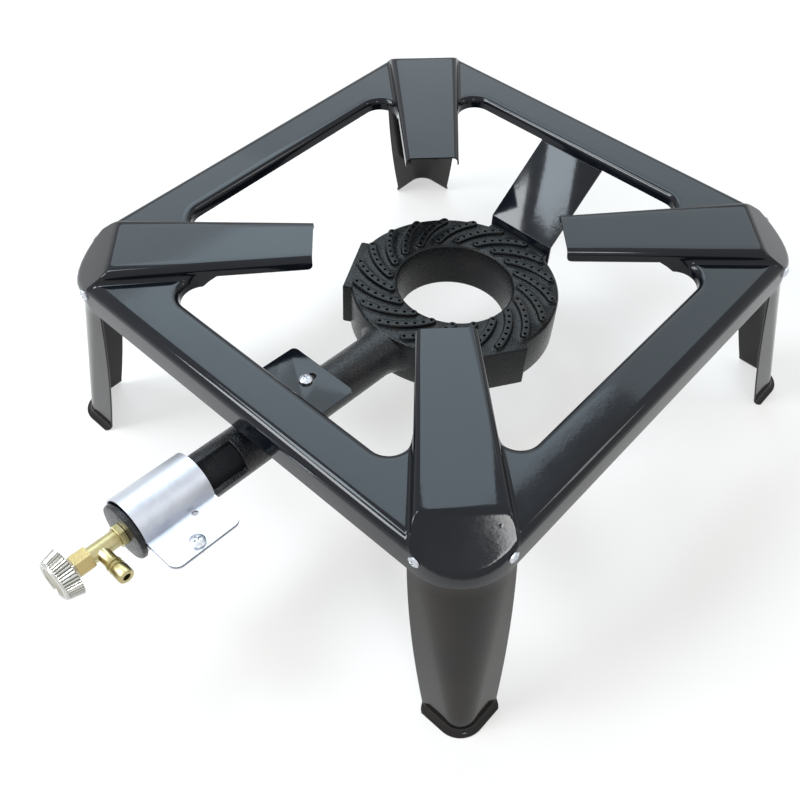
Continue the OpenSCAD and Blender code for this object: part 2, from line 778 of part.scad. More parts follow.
module front_bracket() {
    start = from_burner([-front_strap_start, strap_mid]);
    bend_z = start[1] + (hook_y + start[0]) * tan(burner_tilt);
    color("#2b2f34") difference() {
        placed() bent_strip([start, [-hook_y, bend_z], [-hook_y, hook_top]], strap_t,
                            -strap_side - front_strap_w / 2, front_strap_w);
        in_burner() translate([-strap_side, 0, 0]) {
            translate([0, -front_screw_at, 0]) {
                cylinder(h = past, d = slot_w, center = true);
                translate([0, slot_in - slot_w / 2, 0]) cylinder(h = past, d = slot_w, center = true);
                translate([-slot_w / 2, 0, -past / 2]) cube([slot_w, slot_in - slot_w / 2, past]);
            }
            for (side = [0, 1]) mirror([side, 0, 0])
                translate([front_strap_w / 2, -front_strap_start, -past / 2]) linear_extrude(past)
                    difference() {
                        translate([-front_strap_corner_r, -front_strap_corner_r])
                            square(2 * front_strap_corner_r);
                        translate([-front_strap_corner_r, -front_strap_corner_r])
                            circle(front_strap_corner_r);
                    }
        }
    }
}

module rear_bracket() {
    color("#23272d") difference() {
        placed() bent_strip([from_burner([rear_mid, -rear_strap_drop]),
                             from_burner([rear_mid, rear_bend_up]),
                             [hook_y, flange_z - rear_strap_dip], [hook_y, hook_top]], strap_t,
                            -rear_strap_side - rear_strap_w / 2, rear_strap_w);
        in_burner() translate([-rear_strap_side, rear_mid, axis_z]) rotate([90, 0, 0])
            cylinder(h = 2 * past, d = rear_screw_d + 2 * hole_gap, center = true);
    }
}

module front_bracket_screw() {
    color("#d3d6d9") in_burner()
        translate([-strap_side, -front_screw_at, strap_mid + strap_t / 2 + seat_gap])
            pan_screw(front_screw_d, strap_t + tube_r - tube_bore_r, front_head_d, strap_head_h);
}

module rear_bracket_screw() {
    color("#c9ccd0") in_burner()
        translate([-rear_strap_side, rear_mid + strap_t / 2 + seat_gap, axis_z]) rotate([-90, 0, 0])
            pan_screw(rear_screw_d, strap_t + 2 * seat_gap + rear_thread_len, rear_head_d, strap_head_h);
}

// Section of the split sleeve and its two ears
module shutter_section() {
    gap_from = lower_ear_up + shutter_sheet / 2;
    difference() {
        union() {
            translate([shutter_x, shutter_y]) circle(shutter_r + shutter_sheet);
            translate([0, gap_from - shutter_sheet])
                square([ear_reach, ear_gap + 2 * shutter_sheet]);
        }
        translate([shutter_x, shutter_y]) circle(shutter_r);
        translate([0, gap_from]) square([ear_reach + past, ear_gap]);
    }
}

// What is cut from both ears, seen along their screw: rounded corners and two holes
module ear_cuts() {
    translate([ear_root + relief_d / 2, shutter_len - relief_back]) circle(d = relief_d);
    translate([shutter_screw_out, shutter_len - shutter_screw_back])
        circle(d = shutter_screw_d + 2 * hole_gap);
    for (end = [0, 1]) translate([ear_reach, end * shutter_len]) mirror([0, end]) difference() {
        square(2 * ear_corner_r, center = true);
        translate([-ear_corner_r, ear_corner_r]) circle(ear_corner_r);
    }
}

module air_shutter() {
    color("#c4c8cc") on_axis() translate([0, 0, shutter_in]) difference() {
        linear_extrude(shutter_len) shutter_section();
        translate([0, shutter_r / 2, 0]) rotate([90, 0, 0]) linear_extrude(shutter_r) ear_cuts();
    }
}

// Children are placed on the upper ear at the clamp screw, with +Z upwards
module at_clamp() {
    on_axis() translate([shutter_screw_out, ear_up, shutter_screw_at]) rotate([-90, 0, 0]) children();
}

module shutter_screw() {
    stack = ear_gap + 2 * shutter_sheet + 2 * seat_gap + shutter_nut_h;
    end_past_nut = 1;
    color("#dfe2e4") at_clamp() translate([0, 0, shutter_sheet / 2 + seat_gap])
        pan_screw(shutter_screw_d, stack + end_past_nut, shutter_head_d, shutter_head_h);
}

module shutter_nut() {
    color("#b9bcc0") at_clamp()
        translate([0, 0, -1.5 * shutter_sheet - ear_gap - seat_gap - shutter_nut_h])
            hex_nut(shutter_nut_af, shutter_nut_h, shutter_screw_d / 2 + thread_gap);
}

module injector() {
    shoulder_at = end_plate_at - seat_gap - shoulder_t;
    shoulder_r = injector_r + 1.6;
    nozzle_r = 3.4;
    color("#b7a25a") on_axis() difference() {
        union() {
            translate([0, 0, shoulder_at - nozzle_len])
                cylinder(h = nozzle_len + eps, r1 = seat_r, r2 = nozzle_r);
            translate([0, 0, shoulder_at]) cylinder(h = shoulder_t, r = shoulder_r);
            translate([0, 0, shoulder_at]) cylinder(h = seat_at - shoulder_at, r = injector_r);
        }
        translate([0, 0, shoulder_at - nozzle_len - eps]) cylinder(h = 2 * nozzle_len, d = jet_d);
        translate([0, 0, shoulder_at]) cylinder(h = seat_at, r = seat_r);
    }
}

module injector_lock_nut() {
    color("#c6b878") on_axis() translate([0, 0, nut_at]) hex_nut(hex_af, lock_nut_h, socket_r);
}

module valve_body() {
    feed_r = 1.9;
    color("#b9ad72") on_axis() difference() {
        union() {
            translate([0, 0, body_at]) cylinder(h = valve_len, d = valve_d);
            translate([0, 0, body_at]) cylinder(h = valve_len + neck_len, r = neck_r);
            translate([0, 0, branch_z]) rotate([0, 90, 0]) cylinder(h = barb_root_at, d = barb_root_d);
        }
        translate([0, 0, body_at - eps]) cylinder(h = seat_at - body_at + seat_gap, r = socket_r);
        translate([0, 0, body_at]) cylinder(h = gland_at, r = chamber_r);
        translate([0, 0, branch_z]) rotate([0, 90, 0]) {
            translate([0, 0, barb_stem_at - seat_gap])
                cylinder(h = barb_root_at, r = barb_stem_r + thread_gap);
            cylinder(h = barb_root_at, r = feed_r);
        }
    }
}

module hose_barb() {
    root_end = barb_root_at + barb_root_len;
    end_from = root_end + 2 * barb_ridge_len;
    chamfer = 0.8;
    end_r = barb_ridge_d / 2;
    ridge_r = end_r - chamfer / 2;
    groove_len = 0.4;
    waist_r = barb_waist_d / 2;
    color("#c3b67a") on_axis() translate([0, 0, branch_z]) rotate([0, 90, 0]) rotate_extrude()
        polygon([[barb_bore_d / 2, barb_stem_at], [barb_stem_r, barb_stem_at],
                 [barb_stem_r, barb_root_at + seat_gap], [barb_root_d / 2, barb_root_at + seat_gap],
                 [barb_root_d / 2, root_end], [ridge_r, root_end],
                 [waist_r, root_end + barb_ridge_len], [end_r, root_end + barb_ridge_len],
                 [waist_r, end_from - groove_len], [end_r, end_from], [end_r, barb_reach - chamfer],
                 [end_r - chamfer, barb_reach], [barb_bore_d / 2, barb_reach]]);
}

module gland_nut() {
    counterbore = neck_len + packing_t + 3 * seat_gap;
    color("#b79a4e") on_axis() translate([0, 0, gland_at]) difference() {
        cylinder(h = gland_len, d = hex_af / cos(30), $fn = 6);
        translate([0, 0, -eps]) cylinder(h = counterbore, r = neck_r + thread_gap);
        cylinder(h = gland_len + eps, r = spindle_r + thread_gap);
    }
}

module gland_packing() {
    color("#e6e2d4") on_axis() translate([0, 0, body_at + valve_len + neck_len + seat_gap])
        difference() {
            cylinder(h = packing_t, r = neck_r);
            translate([0, 0, -eps]) cylinder(h = packing_t + 2 * eps, r = spindle_r + thread_gap);
        }
}

module valve_spindle() {
    needle_r = seat_r - needle_gap;
    needle_len = 4.5;
    point_r = 0.4;
    slope = (spindle_r - point_r) / needle_len;
    point_at = seat_at - (needle_r - point_r) / slope;
    color("#c9c6bd") on_axis() difference() {
        union() {
            translate([0, 0, point_at]) cylinder(h = needle_len, r1 = point_r, r2 = spindle_r);
            translate([0, 0, point_at + needle_len - eps])
                cylinder(h = knob_at + hub_depth - point_at - needle_len - seat_gap, r = spindle_r);
        }
        translate([0, 0, o_ring_at - groove_w / 2]) difference() {
            cylinder(h = groove_w, r = spindle_r + eps);
            translate([0, 0, -eps]) cylinder(h = groove_w + 2 * eps, r = groove_r);
        }
    }
}

module spindle_o_ring() {
    color("#1d1d1d") on_axis() translate([0, 0, o_ring_at]) rotate_extrude()
        translate([groove_r + seat_gap / 2 + o_ring_t / 2, 0]) circle(d = o_ring_t, $fn = 24);
}

module knob() {
    back_r = knob_d / 2;
    face_r = knob_face_d / 2;
    cap_r = knob_cap_d / 2 + thread_gap;
    lean = atan((back_r - face_r) / knob_t);
    flute_r = 0.5;
    face_rim = 1.6;
    color("#d7dadc") on_axis() translate([0, 0, knob_at]) difference() {
        cylinder(h = knob_t, r1 = back_r, r2 = face_r);
        translate([0, 0, -eps]) difference() {
            cylinder(h = knob_t - cap_pocket - knob_wall, r = face_r - knob_wall);
            cylinder(h = knob_t, r = spindle_r + knob_wall);
        }
        translate([0, 0, -eps]) cylinder(h = hub_depth, r = spindle_r + thread_gap / 2);
        translate([0, 0, knob_t - cap_pocket]) cylinder(h = knob_t, r = cap_r);
        for (i = [0 : knob_ribs - 1]) rotate(360 / knob_ribs * i)
            translate([back_r, 0, 0]) rotate([0, -lean, 0]) translate([0, 0, -past])
                cylinder(h = knob_t + past - face_rim, r = flute_r, $fn = 16);
    }
}

module knob_cap() {
    color("#b9a58a") on_axis() translate([0, 0, knob_face_at - cap_pocket + seat_gap])
        cylinder(h = cap_pocket - 5 * seat_gap, d = knob_cap_d);
}

top_frame();
leg_front_left();
leg_front_right();
leg_rear_left();
leg_rear_right();
leg_screws();
leg_nuts();
burner_casting();
front_bracket();
rear_bracket();
front_bracket_screw();
rear_bracket_screw();
air_shutter();
shutter_screw();
shutter_nut();
injector();
injector_lock_nut();
valve_body();
hose_barb();
gland_nut();
gland_packing();
valve_spindle();
spindle_o_ring();
knob();
knob_cap();
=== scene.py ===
"""Looks of the free-standing gas boiling ring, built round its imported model.

All shapes are made in millimetres in the frame of the sub-assembly that they belong to, and
their place in the model is applied to their meshes.
"""

import logging
import math
from dataclasses import dataclass
from enum import Enum
from typing import Callable, Iterable, Sequence, Union

import bmesh
import bpy
from mathutils import Matrix, Vector


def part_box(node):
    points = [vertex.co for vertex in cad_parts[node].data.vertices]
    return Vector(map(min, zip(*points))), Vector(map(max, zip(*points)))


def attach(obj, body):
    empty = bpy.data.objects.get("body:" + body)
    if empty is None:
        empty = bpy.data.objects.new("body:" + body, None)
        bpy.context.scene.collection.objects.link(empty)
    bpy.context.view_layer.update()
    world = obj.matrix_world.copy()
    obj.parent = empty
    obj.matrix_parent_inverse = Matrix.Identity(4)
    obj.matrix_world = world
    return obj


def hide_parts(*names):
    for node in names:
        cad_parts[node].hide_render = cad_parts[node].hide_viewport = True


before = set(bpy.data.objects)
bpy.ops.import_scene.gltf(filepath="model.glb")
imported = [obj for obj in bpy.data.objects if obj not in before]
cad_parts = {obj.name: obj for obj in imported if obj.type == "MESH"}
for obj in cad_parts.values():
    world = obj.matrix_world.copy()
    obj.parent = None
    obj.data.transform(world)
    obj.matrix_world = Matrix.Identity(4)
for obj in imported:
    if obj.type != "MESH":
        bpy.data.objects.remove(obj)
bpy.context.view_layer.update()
LOG = logging.getLogger("boiling_ring")

MM = 0.001
ROOT2 = math.sqrt(2)
# Millimetres under which two points are one, and the same for points found by search.
SNAP = 0.002
WELD = 0.01
# Middle of the ring's upper rim in the stand, its tilt in degrees, and the tube's axis under it.
BURNER_AT = (0, 20, 121)
BURNER_TILT = -5.3
AXIS_Z = -18.4
Number = Union[int, float]
Colour = tuple[float, float, float]
Geometry = Union[bmesh.types.BMVert, bmesh.types.BMEdge, bmesh.types.BMFace]


class Body(Enum):
    """The bodies that pieces ride on."""

    STAND = "stand"
    SHUTTER = "shutter"
    SPINDLE_RING = "spindle_ring"
    HANDLE = "handle"


# ---------------------------------------------------------------- materials


class Value:
    """A socket that Python's operators work on, each adding its Math node."""

    def __init__(self, nodes: "Nodes", socket: "bpy.types.NodeSocket | None") -> None:
        """Keeps the socket and the nodes that it belongs to."""
        self.nodes = nodes
        self.socket = socket

    def _math(self, operation: str, first: "Value | Number", second: "Value | Number") -> "Value":
        """Adds one Math node over two values."""
        return self.nodes.node("ShaderNodeMath", {"operation": operation}, {0: first, 1: second})

    def __add__(self, other: "Value | Number") -> "Value":
        """Sum."""
        return self._math("ADD", self, other)

    __radd__ = __add__

    def __mul__(self, other: "Value | Number") -> "Value":
        """Product."""
        return self._math("MULTIPLY", self, other)

    __rmul__ = __mul__

    def __sub__(self, other: "Value | Number") -> "Value":
        """Difference."""
        return self._math("SUBTRACT", self, other)

    def __rsub__(self, other: "Value | Number") -> "Value":
        """Difference from a number."""
        return self._math("SUBTRACT", other, self)

    def above(self, low: float, high: float) -> "Value":
        """Smooth step from 0 at low to 1 at high.

        Args:
            low: Value at which the result leaves 0.
            high: Value at which the result reaches 1.

        Returns:
            The stepped value.
        """
        return self.nodes.node(
            "ShaderNodeMapRange",
            {"interpolation_type": "SMOOTHSTEP"},
            {"Value": self, "From Min": low, "From Max": high},
        )


class Nodes:
    """A node tree and the one method that adds its nodes."""

    def __init__(self, tree: bpy.types.NodeTree) -> None:
        """Empties the tree."""
        self.tree = tree
        self.tree.nodes.clear()

    def node(
        self,
        kind: str,
        settings: dict[str, object],
        sockets: dict[object, object],
        output: "str | int" = 0,
    ) -> Value:
        """Adds a node.

        Args:
            kind: Blender's type of the node.
            settings: Attributes that are set first.
            sockets: Numbers, colours or values for its inputs.
            output: The output that the result stands for.

        Returns:
            The chosen output, empty for a node that ends the tree.
        """
        made = self.tree.nodes.new(kind)
        for key, setting in settings.items():
            setattr(made, key, setting)
        for key, given in sockets.items():
            if isinstance(given, Value):
                self.tree.links.new(given.socket, made.inputs[key])
            elif isinstance(given, tuple) and made.inputs[key].type == "RGBA":
                made.inputs[key].default_value = (*given, 1.0)
            else:
                made.inputs[key].default_value = given
        return Value(self, made.outputs[output] if len(made.outputs) else None)

    def seen(self) -> Value:
        """Picks out the rays that see the surface.

        Returns:
            1 for rays from the camera and those that gloss or glass sends on, otherwise 0.
        """
        rays = ("Camera", "Glossy", "Transmission")
        camera, glossy, through = (
            self.node("ShaderNodeLightPath", {}, {}, f"Is {ray} Ray") for ray in rays
        )
        return camera + glossy + through


class Paint(Nodes):
    """One material and the nodes in it."""

    def __init__(self, name: str) -> None:
        """Starts the material with its object coordinates.

        Args:
            name: Name of the material.
        """
        self.material = bpy.data.materials.new(name)
        self.material.use_nodes = True
        super().__init__(self.material.node_tree)
        self.spot = self.node("ShaderNodeTexCoord", {}, {}, "Object")

    def stretched(self, scale: Sequence[float]) -> Value:
        """Object coordinates scaled unevenly, for streaks."""
        return self.node("ShaderNodeMapping", {}, {"Vector": self.spot, "Scale": tuple(scale)})

    def noise(
        self, scale: float, detail: float = 4.0, rough: float = 0.55, spot: "Value | None" = None
    ) -> Value:
        """Noise texture.

        Args:
            scale: Repeats per metre.
            detail: Octaves.
            rough: Weight of the finer octaves.
            spot: Coordinates, the object's own if not given.

        Returns:
            The noise, from 0 to 1.
        """
        return self.node(
            "ShaderNodeTexNoise",
            {},
            {"Vector": spot or self.spot, "Scale": scale, "Detail": detail, "Roughness": rough},
        )

    def cells(self, scale: float) -> Value:
        """Distance to the nearest point of a cell pattern with that many cells per metre."""
        return self.node("ShaderNodeTexVoronoi", {}, {"Vector": self.spot, "Scale": scale})

    def mixed(self, share: Value, first: "Colour | Value", second: "Colour | Value") -> Value:
        """Colour between two.

        Args:
            share: Share of the second colour, from 0 to 1.
            first: Colour at 0.
            second: Colour at 1.

        Returns:
            The mixed colour.
        """
        return self.node(
            "ShaderNodeMix", {"data_type": "RGBA"}, {0: share, 6: first, 7: second}, 2
        )

    def bump(self, height: Value, depth: float, strength: float = 1.0) -> Value:
        """Normal of a relief.

        Args:
            height: Height, from 0 to 1.
            depth: Metres between 0 and 1.
            strength: Share of the relief that shows.

        Returns:
            The normal.
        """
        return self.node(
            "ShaderNodeBump", {}, {"Height": height, "Distance": depth, "Strength": strength}
        )

    def surface(self, sockets: dict[str, object]) -> bpy.types.Material:
        """Ends the material with a Principled shader that has these inputs."""
        return self.ended(self.node("ShaderNodeBsdfPrincipled", {}, sockets))

    def ended(self, shader: Value) -> bpy.types.Material:
        """Ends the material with a shader."""
        self.node("ShaderNodeOutputMaterial", {}, {"Surface": shader})
        return self.material


@dataclass(frozen=True)
class Enamel:
    """Black vitreous enamel on pressed steel."""

    name: str = "black_enamel"
    colour: Colour = (0.0035, 0.005, 0.008)
    worn: Colour = (0.007, 0.009, 0.013)
    roughness: float = 0.07
    peel: float = 0.00005

    def made(self) -> bpy.types.Material:
        """Builds the material.

        Returns:
            The material.
        """
        paint = Paint(self.name)
        cloud = paint.noise(9.0, 3.0)
        peel = paint.noise(260.0, 2.0)
        wave = paint.noise(30.0, 1.0)
        pimple = 1 - paint.cells(30.0).above(0.0, 0.045)
        smear = paint.noise(60.0, 6.0, 0.65)
        return paint.surface({
            "Base Color": paint.mixed(cloud.above(0.35, 0.75), self.colour, self.worn),
            "Roughness": smear * 0.09 + (self.roughness - 0.04),
            "IOR": 1.5,
            "Specular IOR Level": 0.27,
            "Normal": paint.bump(peel * 0.3 + wave * 1.6 + pimple * 1.0, self.peel),
        })


@dataclass(frozen=True)
class CastIron:
    """Black-finished rough cast iron."""

    name: str = "cast_iron_black"
    colour: Colour = (0.005, 0.006, 0.007)
    rust: Colour = (0.022, 0.015, 0.010)
    grain: float = 0.00042
    gloss: float = 0.26

    def made(self) -> bpy.types.Material:
        """Builds the material.

        Returns:
            The material.
        """
        paint = Paint(self.name)
        coarse = paint.noise(700.0, 4.0, 0.6)
        lumps = paint.noise(150.0, 3.0, 0.5)
        stain = paint.noise(26.0, 5.0, 0.6).above(0.56, 0.74)
        burr = 1 - paint.cells(300.0).above(0.05, 0.30)
        return paint.surface({
            "Base Color": paint.mixed(stain * 0.6, self.colour, self.rust),
            "Roughness": 0.12 + coarse * 0.26,
            "IOR": 1.45,
            "Specular IOR Level": self.gloss,
            "Normal": paint.bump(coarse * 0.9 + lumps * 0.8 + burr * 0.35, self.grain, 0.85),
        })


@dataclass(frozen=True)
class Metal:
    """Bare or plated metal with fine marks."""

    name: str
    colour: Colour
    shade: Colour
    roughness: float = 0.28
    streak: Sequence[float] = (1.0, 1.0, 1.0)
    marks: float = 500.0
    relief: float = 0.00002
    stain_scale: float = 45.0

    def made(self) -> bpy.types.Material:
        """Builds the material.

        Returns:
            The material.
        """
        paint = Paint(self.name)
        streaks = paint.noise(self.marks, 3.0, 0.6, paint.stretched(self.streak))
        stain = paint.noise(self.stain_scale, 4.0, 0.6)
        return paint.surface({
            "Base Color": paint.mixed(stain.above(0.42, 0.72), self.colour, self.shade),
            "Metallic": 1.0,
            "Roughness": streaks * 0.16 + (stain * 0.10 + (self.roughness - 0.10)),
            "Normal": paint.bump(streaks, self.relief, 0.6),
        })


@dataclass(frozen=True)
class Soft:
    """Packing or rubber."""

    name: str
    colour: Colour
    shade: Colour
    roughness: float = 0.7

    def made(self) -> bpy.types.Material:
        """Builds the material.

        Returns:
            The material.
        """
        paint = Paint(self.name)
        fibre = paint.noise(900.0, 4.0)
        return paint.surface({
            "Base Color": paint.mixed(fibre, self.colour, self.shade),
            "Roughness": fibre * 0.2 + (self.roughness - 0.1),
            "Normal": paint.bump(fibre, 0.00005, 0.5),
        })


class Finishes:
    """Every finish of the object, made once; those of the record's slots go by the slot's name."""

    slots = (
        Enamel(),
        Enamel("leg_enamel", (0.007, 0.006, 0.006), (0.016, 0.013, 0.011), 0.12),
        CastIron(),
        Metal("silver_sheet", (0.60, 0.63, 0.69), (0.50, 0.53, 0.60), 0.36,
              streak=(1.0, 0.12, 1.0), marks=420.0, relief=0.00003),
        Metal("zinc_steel", (0.64, 0.67, 0.71), (0.50, 0.52, 0.56), 0.34),
        Metal("brass", (0.52, 0.42, 0.20), (0.38, 0.26, 0.10), 0.24),
        Metal("pale_brass", (0.52, 0.47, 0.26), (0.40, 0.34, 0.16), 0.28),
        Metal("spindle_steel", (0.82, 0.82, 0.80), (0.64, 0.62, 0.58), 0.2),
        Metal("chrome", (0.60, 0.60, 0.57), (0.44, 0.43, 0.40), 0.15, marks=700.0),
        Soft("white_packing", (0.72, 0.70, 0.62), (0.55, 0.52, 0.44)),
        Soft("black_rubber", (0.02, 0.02, 0.02), (0.04, 0.04, 0.04)),
    )

    def __init__(self) -> None:
        """Makes every finish."""
        self.by_slot = {finish.name: finish.made() for finish in self.slots}
        self.tube_iron = CastIron(
            "tube_iron", (0.004, 0.005, 0.007), (0.018, 0.013, 0.010), grain=0.0006, gloss=0.42
        ).made()
        # Lighter grey iron for the tube's inner face: raw cast iron, lightened further as painted
        # light that stands in for light falling in through the air window.
        self.bore_iron_and_painted_light = CastIron("bore_iron_and_painted_light", (0.090, 0.096, 0.112), (0.105, 0.080, 0.060)).made()
        # Darker chrome for the bottoms of the knob's flutes: painted shade.
        self.knob_groove_painted_shade = Metal("knob_groove_painted_shade", (0.22, 0.22, 0.19), (0.12, 0.12, 0.10), 0.3).made()
        # Darker, browner chrome for the knob's cap: a painted reflection of a brown surface.
        self.knob_disc_painted_reflection = Metal(
            "knob_disc_painted_reflection", (0.37, 0.34, 0.25), (0.25, 0.21, 0.14), 0.3,
            marks=600.0, relief=0.00003, stain_scale=90.0,
        ).made()


# ---------------------------------------------------------------- shapes


def drop(distance: float, radius: float) -> float:
    """Fall of a rounded edge.

    Args:
        distance: Distance from the face that the edge rounds into.
        radius: Radius of the rounding.

    Returns:
        How far the rounding lies under the flat, 0 beyond it.
    """
    if distance >= radius:
        return 0.0
    back = radius - (distance if distance > SNAP else 0.0)
    return radius - math.sqrt(max(radius * radius - back * back, 0.0))


def smooth(share: float) -> float:
    """Smooth step of a share that may lie outside 0 to 1."""
    share = min(max(share, 0.0), 1.0)
    return share * share * (3 - 2 * share)


def soft_min(first: float, second: float, width: float) -> float:
    """Lesser of two heights, with the crease between them rounded.

    Args:
        first: One height.
        second: The other height.
        width: Difference over which one passes into the other.

    Returns:
        The rounded lesser height.
    """
    share = min(max(0.5 + 0.5 * (second - first) / width, 0.0), 1.0)
    return second + (first - second) * share - width * share * (1 - share)


def polar(radius: float, angle: float, middle: Sequence[float] = (0.0, 0.0)) -> tuple[float, float]:
    """Plan point at a radius and an angle from a middle."""
    return middle[0] + radius * math.cos(angle), middle[1] + radius * math.sin(angle)


def points_of(geometry: Iterable[Geometry]) -> list[bmesh.types.BMVert]:
    """The points among what an operator made."""
    return [item for item in geometry if isinstance(item, bmesh.types.BMVert)]


def outward(at: Vector) -> Vector:
    """Direction away from the Z axis."""
    return Vector((at.x, at.y, 0))


class Shape:
    """A mesh in the making, in millimetres."""

    def __init__(self) -> None:
        """Starts with nothing."""
        self.bm = bmesh.new()

    def whole(self) -> list[Geometry]:
        """Every point, edge and face so far."""
        return self.bm.verts[:] + self.bm.edges[:] + self.bm.faces[:]

    def merge(self, distance: float = SNAP) -> None:
        """Merges points that lie within a distance."""
        bmesh.ops.remove_doubles(self.bm, verts=self.bm.verts[:], dist=distance)

    def turn(self, angle: float, verts: "Sequence[bmesh.types.BMVert] | None" = None) -> None:
        """Turns points, all of them if none are named, about Z by an angle in radians."""
        bmesh.ops.rotate(self.bm, verts=verts or self.bm.verts[:], cent=(0, 0, 0),
                         matrix=Matrix.Rotation(angle, 3, "Z"))

    def move(self, before: set[bmesh.types.BMVert], way: Matrix) -> None:
        """Applies a matrix to the points that weren't there before."""
        fresh = [vert for vert in self.bm.verts if vert not in before]
        bmesh.ops.transform(self.bm, matrix=way, verts=fresh)

    @classmethod
    def copy_of(cls, node: str, flat: float = 0.6) -> "Shape":
        """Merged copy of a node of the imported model, in millimetres.

        Args:
            node: Name of the node.
            flat: Angle in degrees under which triangles become one face.

        Returns:
            The copy.
        """
        shape = cls()
        shape.bm.from_mesh(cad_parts[node].data)
        shape.bm.transform(Matrix.Scale(1 / MM, 4))
        shape.merge(SNAP / 4)
        bmesh.ops.dissolve_limit(
            shape.bm, angle_limit=math.radians(flat),
            verts=shape.bm.verts[:], edges=shape.bm.edges[:],
        )
        return shape

    def sheet(self, columns: Sequence, rows: Sequence, place: Callable) -> None:
        """Adds a grid whose points a function places.

        Args:
            columns: What the function takes for each column.
            rows: What the function takes for each row.
            place: Gives a point from a column and a row.
        """
        made = bmesh.ops.create_grid(
            self.bm, x_segments=len(columns) - 1, y_segments=len(rows) - 1, size=1.0
        )
        across = (len(columns) - 1) / 2
        along = (len(rows) - 1) / 2
        for vert in made["verts"]:
            column = columns[round((vert.co.x + 1) * across)]
            row = rows[round((vert.co.y + 1) * along)]
            vert.co = place(column, row)

    def revolve(
        self, profile: Sequence[tuple[float, float]], steps: int = 96, way: Matrix = Matrix()
    ) -> None:
        """Spins a profile about Z.

        Args:
            profile: Points as radius and height.
            steps: Steps of the full turn.
            way: Matrix that then places it.
        """
        before = set(self.bm.verts)
        verts = [self.bm.verts.new((radius, 0, height)) for radius, height in profile]
        edges = [self.bm.edges.new(pair) for pair in zip(verts, verts[1:])]
        bmesh.ops.spin(
            self.bm, geom=verts + edges, cent=(0, 0, 0), axis=(0, 0, 1),
            angle=math.tau, steps=steps, use_merge=True,
        )
        self.move(before, way)

    def loop(self, points: Iterable[Vector]) -> list[bmesh.types.BMEdge]:
        """Adds a closed loop of edges through points."""
        verts = [self.bm.verts.new(point) for point in points]
        return [self.bm.edges.new((a, b)) for a, b in zip(verts, verts[1:] + verts[:1])]

    def prism(
        self, outline: Iterable[tuple[float, float]], low: float, high: float, round_off: float
    ) -> None:
        """Adds a plate over an outline, with its upper and lower edges rounded.

        Args:
            outline: Plan points in order.
            low: Height of the lower face.
            high: Height of the upper face.
            round_off: Radius of the edges.
        """
        face = self.bm.faces.new([self.bm.verts.new((x, y, low)) for x, y in outline])
        made = bmesh.ops.extrude_face_region(self.bm, geom=[face], use_keep_orig=True)
        top = points_of(made["geom"])
        bmesh.ops.translate(self.bm, verts=top, vec=(0, 0, high - low))
        rims = set(face.edges) | {e for e in self.bm.edges if all(v in top for v in e.verts)}
        bmesh.ops.bevel(
            self.bm, geom=list(rims), offset=round_off, offset_type="OFFSET", segments=3,
            profile=0.5, affect="EDGES", material=-1, clamp_overlap=True,
        )

    def closed(self) -> "Shape":
        """Merges doubles and points the faces of closed shells outwards.

        Returns:
            The shape itself.
        """
        self.merge()
        bmesh.ops.recalc_face_normals(self.bm, faces=self.bm.faces[:])
        return self

    def facing(self, way: Callable[[Vector], Vector]) -> "Shape":
        """Merges doubles and turns an open sheet's faces one way.

        Args:
            way: Gives the direction from a place.

        Returns:
            The shape itself.
        """
        self.merge()
        bmesh.ops.recalc_face_normals(self.bm, faces=self.bm.faces[:])
        flow = sum(f.normal.dot(way(f.calc_center_median())) * f.calc_area() for f in self.bm.faces)
        if flow < 0:
            bmesh.ops.reverse_faces(self.bm, faces=self.bm.faces[:])
        return self

    def piece(
        self, name: str, place: Matrix, body: Body, slot: str, finish: bpy.types.Material,
        nodes: Sequence[str] = (), crease: float = 35.0,
    ) -> bpy.types.Object:
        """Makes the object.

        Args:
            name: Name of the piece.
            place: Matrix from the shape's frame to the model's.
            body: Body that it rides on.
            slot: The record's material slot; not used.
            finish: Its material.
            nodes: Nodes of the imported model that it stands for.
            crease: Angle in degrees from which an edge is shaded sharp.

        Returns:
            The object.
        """
        mesh = bpy.data.meshes.new(name)
        self.bm.to_mesh(mesh)
        self.bm.free()
        mesh.transform(place)
        mesh.materials.append(finish)
        for polygon in mesh.polygons:
            polygon.use_smooth = True
        mesh.set_sharp_from_angle(angle=math.radians(crease))
        made = bpy.data.objects.new(name, mesh)
        bpy.context.scene.collection.objects.link(made)
        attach(made, body.value)
        if nodes:
            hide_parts(*nodes)
        LOG.info("%s: %d faces on %s", name, len(mesh.polygons), body.value)
        return made


def solidified(piece: bpy.types.Object, thickness: float) -> bpy.types.Object:
    """Gives a sheet its thickness behind its faces.

    Args:
        piece: The sheet.
        thickness: Its thickness in millimetres.

    Returns:
        The piece itself.
    """
    wall = piece.modifiers.new("thickness", "SOLIDIFY")
    wall.thickness = thickness * MM
    wall.offset = -1
    wall.use_even_offset = True
    return piece


def rounded(
    piece: bpy.types.Object, width: float, segments: int = 2, angle: float = 40.0
) -> bpy.types.Object:
    """Rounds a piece's sharp edges.

    Args:
        piece: The piece.
        width: Width of the rounding in millimetres.
        segments: Faces across it.
        angle: Angle in degrees from which an edge is sharp.

    Returns:
        The piece itself.
    """
    bevel = piece.modifiers.new("edges", "BEVEL")
    bevel.width = width * MM
    bevel.segments = segments
    bevel.limit_method = "ANGLE"
    bevel.angle_limit = math.radians(angle)
    bevel.harden_normals = True
    return piece


# ---------------------------------------------------------------- places


def stand_middle() -> float:
    """Middle of the stand along Y in the model, in millimetres."""
    low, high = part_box("top_frame")
    return (low.y + high.y) / 2 / MM


class Places:
    """Matrices from the sub-assemblies' frames, in millimetres, to the model's, in metres."""

    model = Matrix.Scale(MM, 4)
    stand = model @ Matrix.Translation((0, stand_middle(), 0))
    burner = (
        stand @ Matrix.Translation(BURNER_AT) @ Matrix.Rotation(math.radians(BURNER_TILT), 4, "X")
    )
    axis = burner @ Matrix.Translation((0, 0, AXIS_Z)) @ Matrix.Rotation(math.radians(90), 4, "X")


# ---------------------------------------------------------------- the stand


